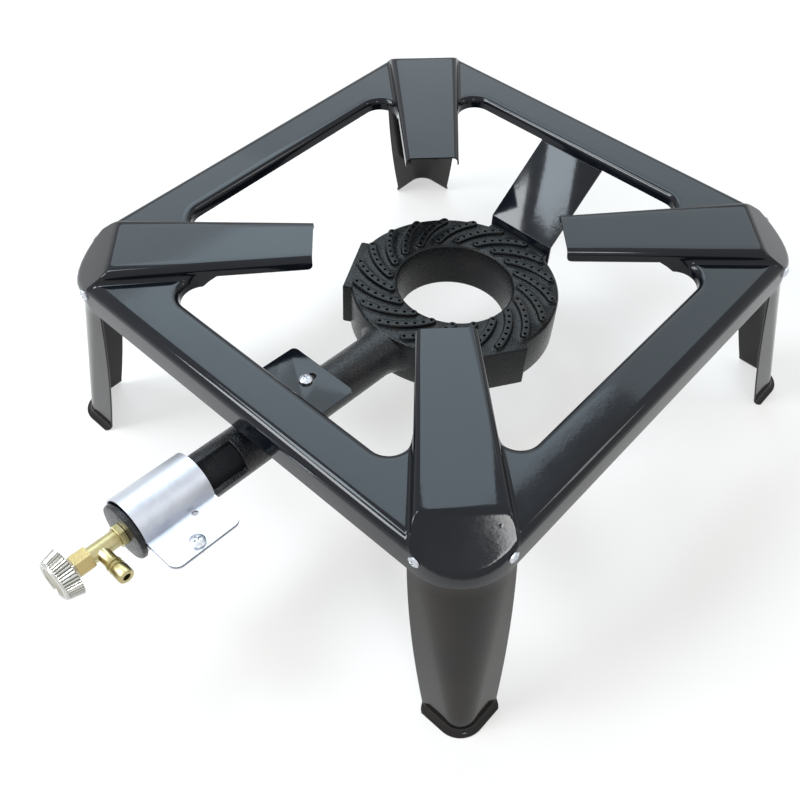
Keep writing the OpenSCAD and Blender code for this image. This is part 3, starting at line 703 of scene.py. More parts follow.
@dataclass(frozen=True)
class TopFrame:
    """The pressed top: four rails with a skirt, and four arms that point at the flame."""

    half: float = 200.0
    corner_r: float = 42.0
    rim_r: float = 8.0
    window: float = 164.0
    window_r: float = 15.0
    rail_z: float = 173.5
    rest_z: float = 182.5
    skirt_z: float = 146.7
    flange_z: float = 164.0
    arm_flange_z: float = 173.0
    tip: float = 91.5
    tip_half: float = 21.1
    nose_at: float = 233.997
    nose_half: float = 29.5
    nose_slope: float = 36.0
    edge_r: float = 5.0
    foot_w: float = 3.0
    facet_r: float = 2.5
    tip_r: float = 4.0
    sheet: float = 1.2
    face_from: float = 237.5
    nose_crease: float = 1.6
    ramp: float = 10.0
    arc_steps: int = 14

    @property
    def taper(self) -> float:
        """Widening of half an arm per length."""
        return (self.nose_half - self.tip_half) / (self.nose_at - self.tip)

    @property
    def lean(self) -> float:
        """Angle of an arm's side to its middle line."""
        return math.atan(self.taper)

    def arm_half(self, u: float) -> float:
        """Half width of an arm at a distance from the middle."""
        return self.tip_half + (u - self.tip) * self.taper

    def root_centre(self) -> tuple[float, float]:
        """Middle of the fillet between an arm and a rail.

        Returns:
            Its distances along and across the arm.
        """
        base = self.arm_half(0) + self.window_r / math.cos(self.lean)
        u = (ROOT2 * (self.window - self.window_r) - base) / (1 + self.taper)
        return u, base + self.taper * u

    @staticmethod
    def along_across(x: float, y: float) -> tuple[float, float]:
        """A plan point's distances along and across the arm at +X and +Y."""
        return (x + y) / ROOT2, (x - y) / ROOT2

    @staticmethod
    def plan(u: float, w: float) -> tuple[float, float]:
        """Plan point from distances along and across the arm at +X and +Y."""
        return (u + w) / ROOT2, (u - w) / ROOT2

    def inset(self, x: float, y: float) -> float:
        """Distance of a plan point inside the skirt's face.

        Args:
            x: Place across the stand.
            y: Place along it, both of them positive.

        Returns:
            The distance, negative outside.
        """
        mid = self.half - self.corner_r
        if x > mid and y > mid:
            return self.corner_r - math.hypot(x - mid, y - mid)
        return self.half - max(x, y)

    def height(self, x: float, y: float) -> float:
        """Height of the top's skin.

        Args:
            x: Place across the stand.
            y: Place along it, between the +X axis and the diagonal.

        Returns:
            The height.
        """
        u, w = self.along_across(x, y)
        side = (self.arm_half(u) - w) * math.cos(self.lean)
        cx, cy = self.plan(*self.root_centre())
        if side > -SNAP:
            level = self.rest_z - drop(side, self.edge_r)
        else:
            away = min(-side / self.foot_w, 1.0)
            rise = (self.rest_z - self.edge_r - self.rail_z) * (1 - math.sqrt(1 - (1 - away) ** 2))
            edge = x - self.window if y <= cy else math.hypot(x - cx, y - cy) - self.window_r
            level = self.rail_z + rise - smooth(away) * drop(edge, self.edge_r)
        inset = self.inset(x, y)
        nose = self.rest_z - (u - self.nose_at) * math.tan(math.radians(self.nose_slope))
        level -= drop(inset, self.rim_r)
        return soft_min(level, nose - drop(inset, self.facet_r), self.nose_crease)

    def flange_foot(self, x: float, y: float) -> float:
        """Height of the lower edge of the flange round the window.

        Args:
            x: Place across the stand.
            y: Place along it, between the +X axis and the diagonal.

        Returns:
            The height.
        """
        u, w = self.along_across(x, y)
        cu, _ = self.root_centre()
        ramp_end = cu + self.window_r * math.sin(self.lean)
        if w > self.arm_half(u) + WELD:
            return self.flange_z
        share = min(max((ramp_end - u) / self.ramp, 0), 1)
        low = self.flange_z + (self.arm_flange_z - self.flange_z) * share
        return low + drop(u - self.tip, self.tip_r)

    def arm_point(self, column: tuple[float, float], row: tuple[float, float]) -> Vector:
        """Point of the arm's half.

        Args:
            column: Distance along the arm, and the share of the way from there to the skirt.
            row: Distance in from the arm's side, and a share of the half width within it.

        Returns:
            The point.
        """
        start, share = column
        depth, part = row

        def at(u: float) -> Vector:
            """Plan point of the row at a distance along the arm."""
            return Vector(self.plan(u, (self.arm_half(u) - depth / math.cos(self.lean)) * part))

        u = start
        if share:
            way = at(start + 1) - at(start)
            u = start + self.reach(at(start), way) * share
        x, y = at(u)
        return Vector((x, y, self.height(x, y)))

    def reach(self, start: Vector, way: Vector) -> float:
        """Distance from a plan point to the skirt in a direction.

        Args:
            start: The point.
            way: The direction.

        Returns:
            The distance, found by halving.
        """
        low, high = 0.0, self.half * 1.5
        for _ in range(40):
            middle = (low + high) / 2
            point = start + way * middle
            low, high = (middle, high) if self.inset(point.x, point.y) > 0 else (low, middle)
        return low

    def rail_lines(self) -> list[tuple[Vector, Vector]]:
        """Lines across the rail, from the arm's side to the rail's middle.

        Returns:
            Plan points at the window's edge and at the skirt. The first lines start close together
            on the window's fillet, so that the rise to the arm is smooth.
        """
        cu, cw = self.root_centre()
        c = Vector(self.plan(cu, cw))
        along = Vector(self.plan(math.cos(self.lean), math.sin(self.lean)))
        inward = Vector(self.plan(math.sin(self.lean), -math.cos(self.lean)))
        lines = []
        for side in (0, 0.08, 0.25, 0.5, 0.8, 1.15, 1.55, 2.0, 2.5, 3.0, 3.8):
            turn = math.acos(1 - side / self.window_r)
            start = c + self.window_r * (inward * math.cos(turn) + along * math.sin(turn))
            lines.append((start, start + along * self.reach(start, along)))
        last_turn = math.acos(inward.dot(Vector((1, 0))))
        end_y = lines[-1][1].y
        for i in range(1, self.arc_steps + 1):
            share = i / self.arc_steps
            angle = turn + (last_turn - turn) * share
            start = c + self.window_r * (inward * math.cos(angle) + along * math.sin(angle))
            lines.append((start, Vector((self.half, end_y + (c.y - end_y) * share))))
        for share in (0.2, 0.4, 0.6, 0.8, 1.0):
            y = c.y * (1 - share)
            lines.append((Vector((self.window, y)), Vector((self.half, y))))
        return lines

    def eighth(self) -> Shape:
        """Half an arm and half a rail, which the top repeats eight times.

        Returns:
            The skin between the +X axis and the diagonal.
        """
        shape = Shape()
        lines = self.rail_lines()
        root = self.along_across(*lines[0][0])[0]
        end = self.along_across(*lines[0][1])[0]
        # Rows of the arm's own, then those that it shares with the rail: beside the fillet, at the
        # nose's crease and down its face to the skirt.
        stations = [(self.tip + d, 0.0)
                    for d in (0, 0.4, 1.2, 2.4, 4.2, 7.5, 14, 23, 32, 41, 50, 59, 68, 74)]
        shared = [(root + (end - root) * t / 36, 0.0)
                  for t in (0, 0.06, 0.25, 0.6, 1.1, 1.7, 2.5, 3.5, 5.0, 8.0, 12.0, 17.0, 22.0)]
        shared += [(u, 0.0) for u in (230.0, 231.6, 232.6, 233.4, 234.2, 235.2, 236.2)]
        shared += [(self.face_from, f)
                   for f in (0.0, 0.1, 0.2, 0.31, 0.43, 0.54, 0.64, 0.74, 0.82, 0.88, 0.925, 0.955,
                             0.978, 0.993, 1.0)]
        # Distances in from the arm's rounded side, then shares of the flat between its edges.
        depths = [(d, 1.0) for d in (0, 0.07, 0.28, 0.65, 1.15, 1.8, 2.6, 3.6, 5.0)]
        depths += [(5.0, f) for f in (0.8, 0.55, 0.28, 0.0)]
        shape.sheet(stations + shared, depths, self.arm_point)
        shares = [(u + (end - u) * f - root) / (end - root) for u, f in shared]

        def rail_point(line: tuple[Vector, Vector], share: float) -> Vector:
            """Point of the skin at a share of a line across the rail."""
            point = line[0].lerp(line[1], share)
            return Vector((*point, self.height(point.x, point.y)))

        shape.sheet(lines, shares, rail_point)
        shape.merge(WELD)
        return shape

    def edged(self, shape: Shape) -> None:
        """Pulls the skirt and the flanges down from the skin's open edges.

        Args:
            shape: The whole skin. Its arms stay open at their tips.
        """
        rims: dict[bool, list[bmesh.types.BMEdge]] = {True: [], False: []}
        for edge in shape.bm.edges:
            if not edge.is_boundary:
                continue
            spots = [self.folded(v.co) for v in edge.verts]
            if all(abs(self.along_across(x, y)[0] - self.tip) < WELD for x, y in spots):
                continue
            rims[all(self.inset(x, y) < 0.5 for x, y in spots)].append(edge)
        for outer, edges in rims.items():
            made = bmesh.ops.extrude_edge_only(shape.bm, edges=edges)
            for vert in points_of(made["geom"]):
                vert.co.z = self.skirt_z if outer else self.flange_foot(*self.folded(vert.co))

    def build(self, finishes: Finishes) -> None:
        """Builds and dresses the top.

        Args:
            finishes: Where its enamel comes from.
        """
        shape = self.eighth()
        bmesh.ops.mirror(
            shape.bm, geom=shape.whole(), matrix=Matrix.Rotation(math.radians(-45), 4, "Z"),
            merge_dist=-1, axis="Y",
        )
        for turn in (180, 90):
            made = bmesh.ops.duplicate(shape.bm, geom=shape.whole())
            shape.turn(math.radians(turn), points_of(made["geom"]))
        shape.merge(WELD)
        self.edged(shape)
        shape.facing(lambda at: Vector((0, 0, 1)))
        piece = shape.piece("top_frame_pressing", Places.stand, Body.STAND, "black_enamel",
                            finishes.by_slot["black_enamel"], ["top_frame"], crease=60.0)
        rounded(solidified(piece, self.sheet), width=0.35, angle=55.0)

    @staticmethod
    def folded(at: Vector) -> tuple[float, float]:
        """Plan point moved by the top's symmetry to between the +X axis and the diagonal."""
        x, y = abs(at.x), abs(at.y)
        return max(x, y), min(x, y)


@dataclass(frozen=True)
class Leg:
    """One of four pressed angle legs, splayed and rolled out at the foot."""

    name: str
    turn: int
    half: float = 198.5
    top_r: float = 40.5
    foot_r: float = 14.0
    splay: float = 16.4
    top_z: float = 167.1
    bend_z: float = 145.95
    foot_z: float = 6.0
    roll_r: float = 4.5
    flat: float = 0.5
    lip_r: float = 5.0
    wing_top: float = 47.2
    wing_foot: float = 37.0
    sheet: float = 1.5
    gap: float = 0.35
    screw_z: float = 156.0
    bend_up: float = 1.5
    bend_down: float = 0.4
    steps: int = 14
    roll_steps: int = 9

    def edge(self, z: float) -> float:
        """Distance of a wing's free edge from the stand's middle line.

        Args:
            z: Height.

        Returns:
            The distance.
        """
        top = self.half - self.wing_top
        foot = self.half + self.splay - self.wing_foot
        share = max(0.0, (self.bend_z - z) / (self.bend_z - self.foot_z))
        return top + (foot - top) * (share + share * share) / 2

    def point(self, column: float, row: tuple[float, float, float, float]) -> Vector:
        """Point of the outer face of the leg at +X and +Y.

        Args:
            column: Place across the leg, from -2 at one free edge to 2 at the other.
            row: Share of the splay, height, distance of the free edge, and outward offset.

        Returns:
            The point.
        """
        splay, z, edge, out = row
        half = self.half + self.splay * splay
        r = self.top_r + (self.foot_r - self.top_r) * splay
        corner = half - r
        across = abs(column)
        if across > 1:
            spot = (corner + (edge - corner) * (across - 1), half + out)
        else:
            spot = polar(r + out, math.radians(45 * (1 + across)), (corner, corner))
        return Vector((*spot, z)) if column < 0 else Vector((spot[1], spot[0], z))

    def rows(self) -> list[tuple[float, float, float, float]]:
        """Rows of the leg's face, from its top to its rolled lip.

        Returns:
            What point() takes for each row.
        """
        rows = [(0.0, z, self.edge(z), 0.0)
                for z in (self.top_z, self.screw_z, self.bend_z + self.bend_up)]
        for i in range(self.steps + 1):
            z = self.bend_z + (self.foot_z - self.bend_z) * i / self.steps
            rows.append((i / self.steps, z if i else z - self.bend_down, self.edge(z), 0.0))
        foot = self.edge(self.foot_z)
        for i in range(1, self.roll_steps + 1):
            angle = math.radians(90 / self.roll_steps * i)
            along = self.lip_r * i / (self.roll_steps + 0.5)
            trim = self.lip_r - math.sqrt(self.lip_r ** 2 - along ** 2)
            rows.append((1.0, self.foot_z - self.roll_r * math.sin(angle), foot + trim,
                         self.roll_r * (1 - math.cos(angle))))
        last = (foot + self.lip_r * 0.8, self.roll_r + self.flat)
        return rows + [(1.0, self.foot_z - self.roll_r, *last)]

    def build(self, finishes: Finishes, top: TopFrame) -> None:
        """Builds and dresses the leg.

        Args:
            finishes: Where its enamel comes from.
            top: The top that it fits under.
        """
        shape = Shape()
        columns = [-2, -1.75, -1.5, -1.25] + [i / 9 for i in range(-9, 10)] + [1.25, 1.5, 1.75, 2]
        shape.sheet(columns, self.rows(), self.point)
        slope = math.radians(top.nose_slope)
        normal = Vector((math.sin(slope) / ROOT2, math.sin(slope) / ROOT2, math.cos(slope)))
        spot = Vector((*top.plan(top.nose_at, 0), top.rest_z)) - normal * (top.sheet + self.gap)
        bmesh.ops.bisect_plane(
            shape.bm, geom=shape.whole(), plane_co=spot, plane_no=normal, clear_outer=True
        )
        shape.turn(math.radians(self.turn))
        shape.facing(outward)
        piece = shape.piece(f"{self.name}_pressing", Places.stand, Body.STAND, "leg_enamel",
                            finishes.by_slot["leg_enamel"], [self.name], crease=50.0)
        rounded(solidified(piece, self.sheet), width=0.6, segments=3, angle=50.0)


# ---------------------------------------------------------------- the burner


@dataclass(frozen=True)
class BurnerCasting:
    """The cast ring with its curved ribs and ports, its lugs and its mixing tube."""

    ring_r: float = 82.5
    hole_r: float = 46.0
    hole_foot_r: float = 43.0
    height: float = 36.8
    rib_h: float = 3.0
    rib_w: float = 6.6
    rib_out: float = 77.4
    rib_in: float = 51.6
    rib_sweep: float = 27.0
    rib_bow: float = 3.4
    rib_start: float = 11.5
    rib_count: int = 20
    port_count: int = 7
    port_d: float = 2.7
    port_deep: float = 9.0
    steps: int = 120
    lug_turns: tuple[int, ...] = (90, 210, 330)
    lug_root: float = 76.0
    lug_reach: float = 84.0
    lug_w: float = 58.0
    axis_z: float = AXIS_Z
    tube_r: float = 17.0
    tube_wall: float = 4.0
    tube_len: float = 314.0
    plate_r: float = 20.5
    plate_t: float = 4.0
    plate_bore: float = 5.2
    flare_r: float = 16.0
    flare_len: float = 18.0
    flare_rise: float = 1.2
    boss_at: tuple[float, float, float] = (-3.0, -156.8, 0.0)
    window_from: float = 228.0
    window_to: float = 279.0

    def rib_arc(self) -> tuple[Vector, float, float, float]:
        """Arc of a rib's middle line.

        Returns:
            Its middle, radius, first angle and span.
        """
        a = Vector((self.rib_out, 0))
        sweep = math.radians(self.rib_sweep)
        b = Vector((math.cos(sweep), math.sin(sweep))) * self.rib_in
        chord = (b - a).length
        way = (b - a) / chord
        r = (chord * chord / 4 + self.rib_bow ** 2) / (2 * self.rib_bow)
        middle = (a + b) / 2 - Vector((way.y, -way.x)) * (r - self.rib_bow)
        first = math.atan2(a.y - middle.y, a.x - middle.x)
        return middle, r, first, 2 * math.asin(chord / 2 / r)

    def rib_outline(self, off: float, z: float) -> list[Vector]:
        """Loop round a rib.

        Args:
            off: Distance from the rib's middle line.
            z: Height.

        Returns:
            Points up one side, round the tip, down the other side and round the root.
        """
        middle, r, first, span = self.rib_arc()
        turns = [first + span * i / 8 for i in range(9)]
        last = first + span
        ends = range(1, 6)
        spots = [polar(r + off, a, middle) for a in turns]
        spots += [polar(off, last + math.pi * i / 6, polar(r, last, middle)) for i in ends]
        spots += [polar(r - off, a, middle) for a in reversed(turns)]
        spots += [polar(off, first + math.pi + math.pi * i / 6, polar(r, first, middle))
                  for i in ends]
        return [Vector((*spot, z)) for spot in spots]

    def rib(self, shape: Shape) -> list[bmesh.types.BMEdge]:
        """Adds one rib with its ports.

        Args:
            shape: The ring in the making.

        Returns:
            The loop at the rib's foot.
        """
        bm = shape.bm
        half = self.rib_w / 2
        top = self.rib_h
        levels = [(half + 0.7, 0.0), (half + 0.25, 0.18), (half + 0.05, 0.6),
                  (half - 0.08, top - 0.9), (half - 0.3, top - 0.4), (half - 0.75, top - 0.08),
                  (half - 1.3, top)]
        loops = [shape.loop(self.rib_outline(off, z)) for off, z in levels]
        for lower, upper in zip(loops, loops[1:]):
            bmesh.ops.bridge_loops(bm, edges=lower + upper)
        middle, r, first, span = self.rib_arc()
        holes = []
        for i in range(self.port_count):
            a = first + span * i / (self.port_count - 1)
            spot = Vector((*polar(r, a, middle), self.rib_h))
            holes.append(shape.loop(
                spot + Vector((math.cos(t), math.sin(t), 0)) * (self.port_d / 2)
                for t in (math.tau * k / 12 for k in range(12))
            ))
        bmesh.ops.triangle_fill(bm, edges=loops[-1] + [e for h in holes for e in h],
                                use_beauty=True, normal=(0, 0, 1))
        for hole in holes:
            made = bmesh.ops.extrude_edge_only(bm, edges=hole)["geom"]
            bmesh.ops.translate(bm, verts=points_of(made), vec=(0, 0, -self.port_deep))
            bmesh.ops.edgeloop_fill(bm, edges=[g for g in made if isinstance(g, bmesh.types.BMEdge)
                                               and all(v.co.z < -1 for v in g.verts)])
        return loops[0]

    def ring(self) -> Shape:
        """The ring with its ribs.

        Returns:
            A closed shell, with its upper rim at height 0.
        """
        shape = Shape()
        bm = shape.bm
        foot = self.rib(shape)
        shape.turn(math.radians(self.rib_start))
        feet = list(foot)
        first = shape.whole()
        for i in range(1, self.rib_count):
            made = bmesh.ops.duplicate(bm, geom=first)
            shape.turn(math.tau * i / self.rib_count, points_of(made["geom"]))
            feet += [made["edge_map"][e] for e in foot]
        rims = []
        for r in (self.ring_r - 2.2, self.hole_r + 1.8):
            turns = (math.tau * k / self.steps for k in range(self.steps))
            rims += shape.loop(Vector((*polar(r, a), 0)) for a in turns)
        bmesh.ops.triangle_fill(bm, edges=rims + feet, use_beauty=True, normal=(0, 0, 1))
        r, hole, hole_foot, deep = self.ring_r, self.hole_r, self.hole_foot_r, self.height
        profile = [(r - 2.2, 0), (r - 1.2, -0.25), (r - 0.4, -0.95), (r, -2.2), (r + 0.15, -18),
                   (r, -deep + 2), (r - 0.6, -deep + 0.6), (r - 2, -deep), (hole_foot + 2, -deep),
                   (hole_foot + 0.5, -deep + 0.6), (hole_foot, -deep + 2), (hole - 0.2, -2.4),
                   (hole + 0.2, -1.1), (hole + 0.9, -0.3), (hole + 1.8, 0)]
        shape.revolve(profile, self.steps)
        return shape.closed()

    def lugs(self) -> Shape:
        """The three flat lugs on the ring's side.

        Returns:
            Three closed shells, a little lower than the ring at both ends.
        """
        shape = Shape()
        root, reach, half = self.lug_root, self.lug_reach, self.lug_w / 2
        for turn in self.lug_turns:
            before = set(shape.bm.verts)
            shape.prism([(root, -half), (reach, -half), (reach, half), (root, half)],
                        -self.height + 0.1, -0.1, 1.4)
            shape.move(before, Matrix.Rotation(math.radians(turn), 4, "Z"))
        return shape.closed()

    def tube(self) -> Shape:
        """The tube's outer wall, along +Z.

        Returns:
            A sheet that is open at the tube's ends and at its air window.
        """
        shape = Shape()
        stations = [64.0] + [66.0 + 8.1 * i for i in range(20)]
        stations += [224.0, self.window_from, 240.0, 253.0, 266.0, self.window_to, 284.0, 296.0]
        stations += [308.0, 312.0]
        angles = [math.radians(5 * k) for k in range(73)]
        shape.sheet(angles, stations, lambda a, z: Vector((*polar(self.tube_r, a), z)))
        shape.merge(0.003)
        gone = []
        for face in shape.bm.faces:
            at = face.calc_center_median()
            if self.window_from < at.z < self.window_to and min(at.x, at.y) > 0:
                gone.append(face)
        bmesh.ops.delete(shape.bm, geom=gone, context="FACES")
        return shape.facing(outward)

    def end_plate(self) -> Shape:
        """The rough disc that closes the tube, along +Z.

        Returns:
            A closed shell with a bore, its rim uneven as cast.
        """
        shape = Shape()
        back, front = self.tube_len - self.plate_t, self.tube_len
        r, bore = self.plate_r, self.plate_bore
        shape.revolve([(bore, back), (r - 1.0, back), (r - 0.3, back + 0.3), (r, back + 1.0),
                       (r - 0.1, front - 1.2), (r - 0.5, front - 0.4), (r - 1.4, front),
                       (bore, front), (bore, back)], 72)
        for vert in shape.bm.verts:
            turn = math.atan2(vert.co.y, vert.co.x)
            rough = 1 + 0.006 * math.sin(5 * turn) + 0.004 * math.sin(11 * turn + 1)
            rough += 0.003 * math.sin(23 * turn)
            if vert.co.xy.length > 10:
                vert.co.xy *= rough - 0.012
        return shape.closed()

    def flare(self) -> Shape:
        """The saddle that flares the tube into the ring, and the boss under the front strip.

        Returns:
            Two sheets, open where they run into the ring and the tube.
        """
        shape = Shape()
        off = self.tube_r + self.flare_r
        root = -math.sqrt((self.ring_r + self.flare_r) ** 2 - off * off)
        rows = [(self.tube_r - 0.5, root - 3.0), (self.tube_r, root - 1.0)]
        rows += [(off - math.sqrt(self.flare_r ** 2 - step * step) + 0.05, root + step)
                 for step in (0.5, 2, 4, 6, 8, 10, 12, 13.5, 14.8, 15.6)]
        rows += [(off, root + self.flare_len), (off, root + 25)]

        def point(turn: float, row: tuple[float, float]) -> Vector:
            """Point of the saddle.

            Args:
                turn: Angle round the tube.
                row: Half width, and place along the tube.

            Returns:
                The point.
            """
            half, along = row
            swell = smooth((along - root) / self.flare_len) * self.flare_rise
            height = self.axis_z + (self.tube_r + swell) * math.sin(turn)
            return Vector((half * math.cos(turn), along, height))

        shape.sheet([math.tau * k / 48 for k in range(49)], rows, point)
        shape.facing(lambda at: Vector((at.x, 0, at.z - self.axis_z)))
        boss = [(0.01, -6), (8, -6), (8, -1.9), (7.7, -1.25), (7.1, -0.95), (0.01, -0.95)]
        shape.revolve(boss, 40, Matrix.Translation(self.boss_at))
        return shape

    def build(self, finishes: Finishes) -> None:
        """Builds and dresses the casting.

        Args:
            finishes: Where its irons come from.
        """
        iron = finishes.by_slot["cast_iron_black"]
        common = (Body.STAND, "cast_iron_black", iron)
        self.ring().piece("burner_ring", Places.burner, *common, ["burner_casting"], crease=50.0)
        rounded(self.lugs().piece("burner_lugs", Places.burner, *common), width=1.2, segments=3)
        skin = (Body.STAND, "cast_iron_black", finishes.tube_iron)
        tube = self.tube().piece("mixing_tube", Places.axis, *skin)
        # The solidified inner face takes the second material, the lighter bore iron: painted light
        # inside the tube.
        tube.data.materials.append(finishes.bore_iron_and_painted_light)
        rounded(solidified(tube, self.tube_wall), width=0.7, angle=50.0)
        tube.modifiers[0].material_offset = 1
        self.end_plate().piece("tube_end_plate", Places.axis, *skin, crease=50.0)
        self.flare().piece("tube_flare", Places.burner, *skin, crease=50.0)


@dataclass(frozen=True)
class Knob:
    """The fluted, tapered knob of the needle valve, along +Z of the tube's axis."""

    back: float = 352.1
    front: float = 363.1
    back_r: float = 16.5
    front_r: float = 13.5
    flutes: int = 45
    flute: float = 0.8
    flute_end: float = 1.9
    pocket_r: float = 9.9
    pocket: float = 1.6
    bore_r: float = 2.6

    def profile(self) -> list[tuple[float, float, float]]:
        """Rings of the skin, from the bore to the pocket.

        Returns:
            Radius, height and depth of the flutes of each ring.
        """
        back, front, deep = self.back, self.front, self.flute
        slope = (self.back_r - self.front_r) / (front - back)
        rings = [(0.01, front - 3, 0), (self.bore_r, front - 3, 0), (self.bore_r, back, 0),
                 (self.back_r - 1.4, back, 0), (self.back_r - 0.6, back, deep * 0.6),
                 (self.back_r - 0.1, back + 0.4, deep)]
        rings += [(self.back_r - slope * (z - back), z, deep)
                  for z in (back + 2, back + 5, front - 2.4, front - self.flute_end)]
        rings += [(self.front_r + 0.35, front - 1.5, 0), (self.front_r + 0.1, front - 0.7, 0),
                  (self.front_r - 0.25, front - 0.2, 0), (self.front_r - 0.9, front, 0),
                  (self.pocket_r + 1.9, front, 0), (self.pocket_r + 1.6, front - 0.5, 0),
                  (self.pocket_r + 1.1, front - 0.5, 0), (self.pocket_r + 0.8, front - 0.1, 0),
                  (self.pocket_r + 0.2, front - 0.1, 0), (self.pocket_r, front - 0.4, 0),
                  (self.pocket_r, front - self.pocket, 0), (0.01, front - self.pocket, 0)]
        return rings

    def build(self, finishes: Finishes) -> None:
        """Builds and dresses the knob.

        Args:
            finishes: Where its chrome and the darker chrome of its grooves, a painted shade, come
                from.
        """
        shape = Shape()
        count = self.flutes * 4
        cut = (0.0, 0.35, 1.0, 0.35)

        def point(k: int, ring: tuple[float, float, float]) -> Vector:
            """Point of a ring at a step round it."""
            radius, height, deep = ring
            return Vector((*polar(radius - deep * cut[k % 4], math.tau * k / count), height))

        shape.sheet(range(count + 1), self.profile(), point)
        shape.merge(2 * WELD)
        # Faces in the bottoms of the flutes take the darker groove chrome: painted shade.
        for face in shape.bm.faces:
            at = face.calc_center_median()
            part = (math.atan2(at.y, at.x) / math.tau * count) % 4
            skin = at.xy.length > self.front_r - self.flute and at.z < self.front - self.flute_end
            face.material_index = int(skin and 1 < part < 3)
        knob = shape.closed().piece("knob_turned", Places.axis, Body.HANDLE, "chrome",
                                    finishes.by_slot["chrome"], ["knob"], crease=28.0)
        knob.data.materials.append(finishes.knob_groove_painted_shade)


@dataclass(frozen=True)
class HoseBarb:
    """The ridged stem that a gas hose is pushed over, along +X from the valve's branch."""

    station: float = 331.0
    bore_r: float = 2.5
    root_r: float = 4.5
    ridge_r: float = 5.3
    start: float = 4.1
    end: float = 28.0

    def build(self, finishes: Finishes) -> None:
        """Builds and dresses the barb.

        Args:
            finishes: Where its brass comes from.
        """
        bore, low, high, start, end = self.bore_r, self.root_r, self.ridge_r, self.start, self.end
        stem, shoulder = 3.35, 8.1
        profile = [(bore, start), (stem, start), (stem, shoulder), (low, shoulder), (low, 12.3),
                   (high, 14.9), (high - 0.1, 15.2), (low, 15.25), (high, 18.0), (high - 0.1, 18.3),
                   (low + 0.15, 18.4), (high, 20.6), (high, 26.8), (high - 0.2, 27.4),
                   (low, end - 0.05), (bore + 0.5, end), (bore, end - 0.4), (bore, start)]
        shape = Shape()
        shape.revolve(profile, 64)
        way = Matrix.Translation((0, 0, self.station)) @ Matrix.Rotation(math.radians(90), 4, "Y")
        shape.closed().piece("hose_barb_turned", Places.axis @ way, Body.STAND, "pale_brass",
                             finishes.by_slot["pale_brass"], ["hose_barb"], crease=28.0)


@dataclass(frozen=True)
class Fitting:
    """A small piece whose solid is dressed as it is, with its edges broken."""

    node: str
    slot: str
    edge: float = 0.0
    segments: int = 2
    body: Body = Body.STAND
    crease: float = 35.0

    def build(
        self, finishes: Finishes, finish: "bpy.types.Material | None" = None
    ) -> bpy.types.Object:
        """Builds and dresses the piece.

        Args:
            finishes: Where its finish comes from.
            finish: Another finish, if it isn't the slot's own.

        Returns:
            The piece.
        """
        shape = Shape.copy_of(self.node)
        piece = shape.piece(f"{self.node}_dressed", Places.model, self.body, self.slot,
                            finish or finishes.by_slot[self.slot], [self.node], self.crease)
        return rounded(piece, self.edge, self.segments) if self.edge else piece


FITTINGS = (
    Fitting("front_bracket", "black_enamel", 0.45, 3),
    Fitting("rear_bracket", "black_enamel", 0.45, 3),
    Fitting("front_bracket_screw", "zinc_steel", crease=24.0),
    Fitting("rear_bracket_screw", "zinc_steel", crease=24.0),
    Fitting("leg_screws", "zinc_steel", crease=24.0),
    Fitting("leg_nuts", "zinc_steel", 0.2),
    Fitting("air_shutter", "silver_sheet", 0.25, body=Body.SHUTTER),
    Fitting("shutter_screw", "zinc_steel", body=Body.SHUTTER, crease=24.0),
    Fitting("shutter_nut", "zinc_steel", 0.25, body=Body.SHUTTER),
    Fitting("injector", "brass", 0.15),
    Fitting("injector_lock_nut", "pale_brass", 0.3),
    Fitting("valve_body", "pale_brass", 0.25),
    Fitting("gland_nut", "brass", 0.35, 3),
    Fitting("gland_packing", "white_packing"),
    Fitting("valve_spindle", "spindle_steel", 0.15, body=Body.HANDLE),
    Fitting("spindle_o_ring", "black_rubber", body=Body.SPINDLE_RING),
)


# ---------------------------------------------------------------- the studio


@dataclass(frozen=True)
class Lamp:
    """A soft box that points at the object or straight down."""

    name: str
    at: tuple[float, float, float]
    size: tuple[float, float]
    power: float
    colour: Colour = (1.0, 1.0, 1.0)
    level: bool = False

    def build(self, target: Vector) -> None:
        """Adds the lamp.

        Args:
            target: The point that it is aimed at, unless it is level.
        """
        data = bpy.data.lights.new(self.name, "AREA")
        data.shape = "RECTANGLE"
        data.size, data.size_y = self.size
        data.energy = self.power
        data.color = self.colour
        lamp = bpy.data.objects.new(self.name, data)
        lamp.location = self.at
        if not self.level:
            lamp.rotation_euler = (target - Vector(self.at)).to_track_quat("-Z", "Y").to_euler()
        bpy.context.scene.collection.objects.link(lamp)


